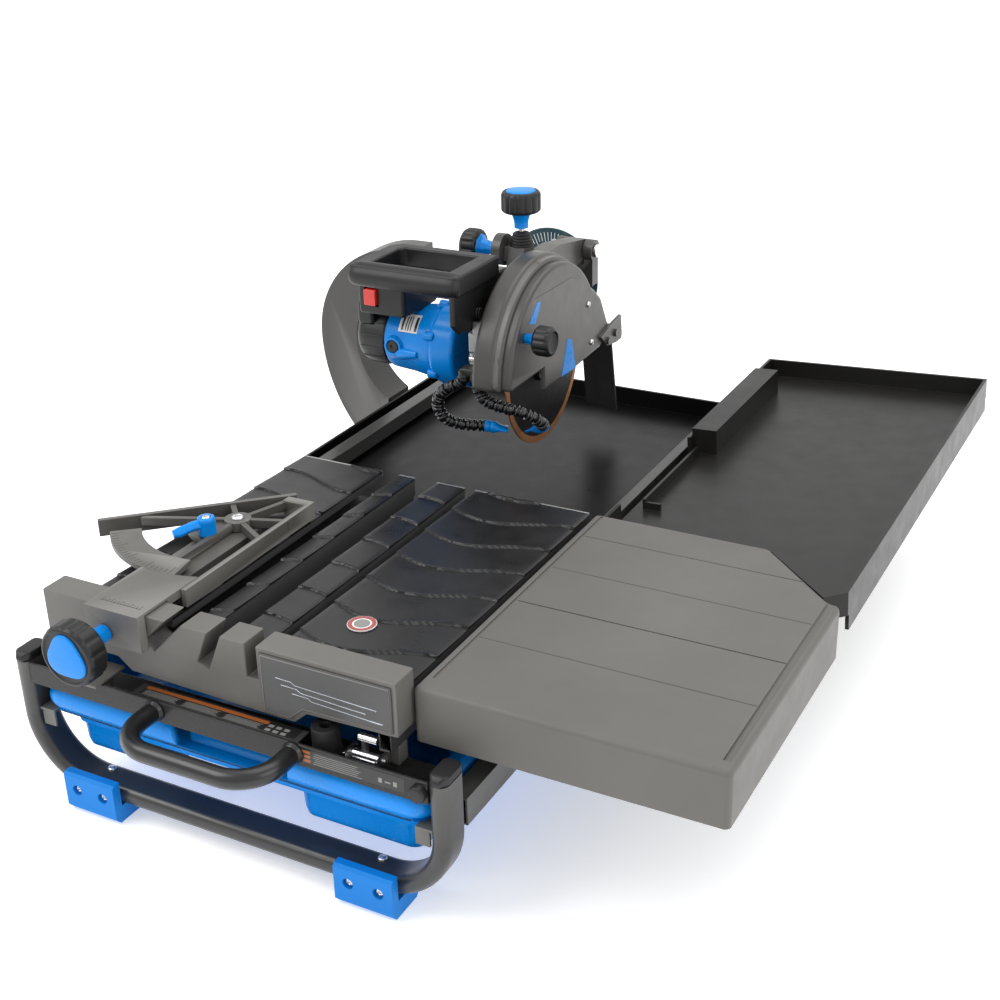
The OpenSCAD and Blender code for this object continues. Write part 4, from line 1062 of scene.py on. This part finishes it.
def make_guard():
    grey = "head_grey"
    shell = prism("guard_shell", guard_outline(133), 9, 37, "x", grey, 6.0, 5)
    boolean(shell, prism("step", guard_outline(129, grow=1.5), 30, 46, "x", grey, 4.0, 4), "UNION", 45)
    boolean(shell, prism("face", guard_outline(124, grow=3), 30, 58, "x", grey, 7.0, 5), "UNION", 45)
    pocket = on_circle(GUARD, 119, range(184, -12, -4)) + [(720, 280), (478, 280)]
    boolean(shell, prism("pocket", pocket, 14, 54, "x", grey), smooth=45)
    # Parting groove across the face
    groove = sweep("groove", [(58.2, 540, 423), (58.2, 640, 421.5), (58.2, 700, 400)], circle(0.7, 8), grey)
    boolean(shell, groove, smooth=45)
    settle(shell, "blade_guard")
    # A black sheet on the guard's inner wall: painted shade for the dark inside the guard, not a part of the
    # saw.
    out = on_circle(GUARD, 118.6, range(176, 8, -4)) + [(706, 304), (565, 299), (561, 330), (479, 330)]
    shade_sheet = prism("guard_painted_shade", out, 14.6, 20, "x", "black_plastic", 0.8)
    boolean(shade_sheet, lathe("bore", (10, *ARBOR), RIGHT, [(29, 0), (29, 20)], grey, 48))
    on_head(shade_sheet)
    stripes = [prism("s", out, 57.6, 58.35, "x", "blue_plastic", 0.15, 1) for out in (
        [(546, 417), (555, 415), (540, 392), (523, 396)], [(628, 345), (640, 341), (652, 299), (610, 301)])]
    on_head(merge("guard_stripes", stripes))
    bolts = [screw("s", (58, y, z), RIGHT, 4.2, "zinc") for y, z in ((700, 318), (690, 372))]
    on_head(merge("guard_screws", bolts))


BLADE_X, BLADE_RADIUS, RIM_INNER, RIM_THICK = 37, 101.6, 93, 2.2


def make_blade():
    profile = [(7.9, 0), (94, 0), (94, 1.7), (7.9, 1.7)]
    core = lathe("blade_core", (BLADE_X - 0.85, *ARBOR), RIGHT, profile, "blade_steel", 128, hollow=True)
    settle(core, "saw_blade")
    edge = BLADE_RADIUS - 0.4
    profile = [(RIM_INNER, 0), (edge, 0), (BLADE_RADIUS, 0.4), (BLADE_RADIUS, RIM_THICK - 0.4),
               (edge, RIM_THICK), (RIM_INNER, RIM_THICK)]
    rim = lathe("blade_rim", (BLADE_X - 1.1, *ARBOR), RIGHT, profile, "rim_copper", 160, hollow=True)
    rides(rim, "blade")
    rounded("blade_arbor", 0.6, segments=2)


# ---- water
LEFT_ROUTE = [
    (-10, 484, 331), (-19, 483, 323), (-31, 482, 318), (-42, 482, 309), (-49, 484, 298), (-50, 487, 285),
    (-45, 490, 273), (-35, 494, 267), (-22, 499, 264), (-9, 505, 263), (2, 511, 262)]
RIGHT_ROUTE = [
    (6, 484, 331), (9, 483, 319), (16, 483, 309), (28, 484, 304), (41, 485, 302), (54, 485, 301),
    (66, 488, 298), (75, 496, 291), (80, 506, 282), (79, 517, 273)]
LEFT_TIP, RIGHT_TIP = (27, 523, 257), (54, 532, 257)


def nozzle_flattening(length):
    """The nozzle's radius, which turns from round into a flat fan after its middle."""
    def radius(t, r, h):
        if h < length * 0.45:
            return r
        k = h / length - 0.45
        return r * (1.0 / sqrt((cos(t) ** 2) * (1 + 3.0 * k) ** 2 +
                                    (sin(t) ** 2) / (1 + 1.6 * k) ** 2))
    return radius


def make_hose(side, route, tip):
    links = []
    for a, b in zip(route, route[1:]):
        d = vec(b) - vec(a)
        L = d.length
        profile = [(3.2, -5.6), (5.0, -4.2), (6.5, -2.0), (6.9, 0), (6.4, 1.6), (4.3, 2.9), (4.3, 3.9),
                   (7.2, 4.5), (7.8, 5.6), (7.8, 6.9), (5.9, 7.8), (5.9, L - 3.8), (7.4, L - 3.0),
                   (7.5, L - 1.6), (6.9, L - 0.6), (5.9, L - 0.4)]
        links.append(lathe("link", a, d, soft(profile, 0.6, 2), "hose_black", 32, smooth=40))
    settle(merge(side + "_hose_links", links), side + "_hose")
    d = vec(tip) - vec(route[-1])
    L = d.length
    profile = soft([(5.4, -3), (7.4, -1.5), (7.6, 4), (6.6, 5.2), (6.6, 7), (7.4, 8), (7.2, L * 0.45),
                    (6.4, L * 0.6), (5.8, L * 0.98), (4.2, L), (0, L)], 0.7)
    nozzle = lathe(side + "_nozzle_body", route[-1], d, profile, "blue_plastic", 48,
                   lobes=nozzle_flattening(L), smooth=50)
    settle(nozzle, side + "_nozzle")


def make_water():
    alu, black = "dark_alu", "black_plastic"
    body = block("splitter_block", -12, 6, 499, 517, 359, 384, alu, 2, 3)
    upper = block("u", -6, 6, 499, 517, 382, 398, alu, 1.5, 3)
    profile = soft([(7.5, -4), (7.5, 2), (6, 3), (6, 8), (7.2, 9), (7.2, 13.5)], 0.5)
    stem = lathe("stem", (-4, 502, 346), UP, profile, alu, 40)
    settle(merge("splitter_body", [body, upper, stem]), "hose_splitter")
    profile = soft([(8.8, 0), (9.4, 0.8), (9.4, 4.6), (8.8, 5.4)], 0.3)
    on_head(lathe("splitter_nut", (-4, 502, 349.5), UP, profile, "steel", 6))
    bar = [block("manifold", -14, 10, 478, 507, 335, 346, black, 3, 3)]
    profile = soft([(6.9, 1.2), (8.1, 1.6), (8.1, 5), (7.2, 6.5), (7.2, 11)], 0.6)
    for p in (LEFT_ROUTE[0], RIGHT_ROUTE[0]):
        bar.append(lathe("cup", p, UP, profile, black, 36))
    on_head(merge("hose_manifold", bar))
    profile = [(7.2, 0), (7.6, 0.4), (7.6, 1.6), (7.2, 2)]
    fins = [lathe("f", (-14 + 3.2 * k, 512, 405), (1, 0, 0.15), profile, black, 32) for k in range(5)]
    on_head(merge("hose_inlet_fins", fins))
    make_hose("left", LEFT_ROUTE, LEFT_TIP)
    make_hose("right", RIGHT_ROUTE, RIGHT_TIP)


# ---- knobs
DEPTH_AXIS = (-15, 649)
THREAD_TURNS, THREAD_STEP, BOOT_FOLDS = 70, 0.9, 9


def make_knobs():
    knob("plunge_knob", (-44.3, 640, 447), LEFT, 22, 22, 24, 8, 12, "plunge_clamp", "plunge_lock_knob",
         flare=9)
    knob("depth_knob", (*DEPTH_AXIS, 475), UP, 25, 26, 20, 9, 14, "depth_screw", "depth_knob")
    thread = [(4 - 0.35 * (k % 2), 1 + THREAD_STEP * k) for k in range(1, THREAD_TURNS)]
    profile = soft([(3.2, 0), (4, 1)] + thread + [(4, 64.5)], 0.1)
    stud = lathe("depth_stud", (*DEPTH_AXIS, 412.4), UP, profile, "steel", 24)
    rides(stud, "depth_screw")
    folds = [(14 - 0.5 * k + (1.2 if k % 2 else -0.6), 3 + 1.7 * k) for k in range(BOOT_FOLDS)]
    profile = soft([(4.4, 0), (15, 0), (15, 2)] + folds + [(4.4, 18.5)], 0.5)
    boot = lathe("depth_boot", (*DEPTH_AXIS, 452.2), UP, profile, "black_rubber", 40)
    on_head(boot)
    knob("guard_knob", (58.3, 514, 382), RIGHT, 18, 22, 14, 6, 10, "guard_clamp", "guard_knob", cap=False)
    stud = lathe("guard_stud", (45, 514, 382), RIGHT, [(3, 0), (3, 15)], "steel", 20)
    rides(stud, "guard_clamp")
    stud = lathe("plunge_stud", (-30, 640, 447), LEFT, [(4, 0), (4, 16)], "steel", 20)
    rides(stud, "plunge_clamp")


# ---- rear flap
FLAP_ROWS, FLAP_COLS, FLAP_THICK = 24, 12, 3.2
FLAP_LEFT, FLAP_WIDTH, FLAP_Y, FLAP_TOP, FLAP_LENGTH = 12, 44, 768, 302, 104
FLAP_LEAN, FLAP_SLANT, FLAP_RIPPLE = 15, 5, 1.2


def flap_point(side, i, k):
    """A point of the hanging rubber sheet, which leans back and ripples more towards its foot."""
    t, m = i / FLAP_ROWS, FLAP_COLS
    return P(FLAP_LEFT + (FLAP_WIDTH + 2 * t) * k / m,
             FLAP_Y + side + FLAP_LEAN * t + FLAP_RIPPLE * sin(k * 1.1 + 2 * t) * t,
             FLAP_TOP - FLAP_LENGTH * t - FLAP_SLANT * t * k / m)


def make_flap():
    rounded("flap_bracket", 1.0)
    bm = bmesh.new()
    n, m = FLAP_ROWS, FLAP_COLS
    a, b = ([[bm.verts.new(flap_point(side, i, k)) for k in range(m + 1)] for i in range(n + 1)]
            for side in (-FLAP_THICK / 2, FLAP_THICK / 2))
    for i in range(n):
        for k in range(m):
            bm.faces.new((a[i][k], a[i][k + 1], a[i + 1][k + 1], a[i + 1][k]))
            bm.faces.new((b[i][k], b[i + 1][k], b[i + 1][k + 1], b[i][k + 1]))
    rim = [(0, k) for k in range(m)] + [(i, m) for i in range(n)] + \
          [(n, k) for k in range(m, 0, -1)] + [(i, 0) for i in range(n, 0, -1)]
    for (i, k), (i2, k2) in zip(rim, rim[1:] + rim[:1]):
        bm.faces.new((a[i][k], b[i][k], b[i2][k2], a[i2][k2]))
    flap = closed(bm, "rear_flap_sheet", "black_rubber", 50)
    settle(flap, "rear_flap")
    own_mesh(flap)


for build in (make_frame, make_reservoir, make_table, make_extension, make_guide, make_stand, make_motor,
              make_grip, make_guard, make_blade, make_water, make_knobs, make_flap):
    build()


# ---- stage and light
STAGE_SIZE, STAGE_DROP, STAGE_GLOW = 14, 0.0006, 0.38  # metres, metres, emission strength
LIGHT_TARGET = (0, 0, 0.2)
LIGHTS = (
    # name, place in metres, side in metres, power in watts
    ("key", (-1.6, -1.6, 2.6), 1.8, 46),
    ("top", (0.4, 0.8, 3.0), 2.6, 38),
    ("side", (2.6, -0.6, 1.5), 1.6, 16),
)


def make_stage():
    bm = bmesh.new()
    bmesh.ops.create_grid(bm, x_segments=1, y_segments=1, size=STAGE_SIZE)
    m = Nodes("floor_white")
    m.set("Base Color", m.mix(m.remap(m.noise(2, 3), 0.3, 0.7, 0, 1), (0.9, 0.9, 0.9), (0.93, 0.93, 0.93)))
    m.set("Roughness", 0.7)
    m.set("Emission Color", (1, 1, 1, 1))
    m.set("Emission Strength", STAGE_GLOW)
    MAT["floor_white"] = m.mat
    floor = finish_mesh(bm, "floor", "floor_white")
    floor.location = (0, 0, -STAGE_DROP)


def area_light(name, loc, size, power):
    d = bpy.data.lights.new(name, "AREA")
    d.shape = "RECTANGLE"
    d.size = d.size_y = size
    d.energy = power
    d.color = (1, 1, 1)
    ob = link(bpy.data.objects.new(name, d))
    ob.location = loc
    ob.rotation_mode = "QUATERNION"
    ob.rotation_quaternion = (Vector(loc) - Vector(LIGHT_TARGET)).to_track_quat("Z", "Y")


def make_light():
    w = bpy.data.worlds.new("studio")
    bpy.context.scene.world = w
    w.use_nodes = True
    background = w.node_tree.nodes["Background"]
    background.inputs[0].default_value = (1, 1, 1, 1)
    background.inputs[1].default_value = 1.0
    for light in LIGHTS:
        area_light(*light)


make_stage()
make_light()
vs = bpy.context.scene.view_settings
vs.view_transform = "Standard"
vs.look = "None"
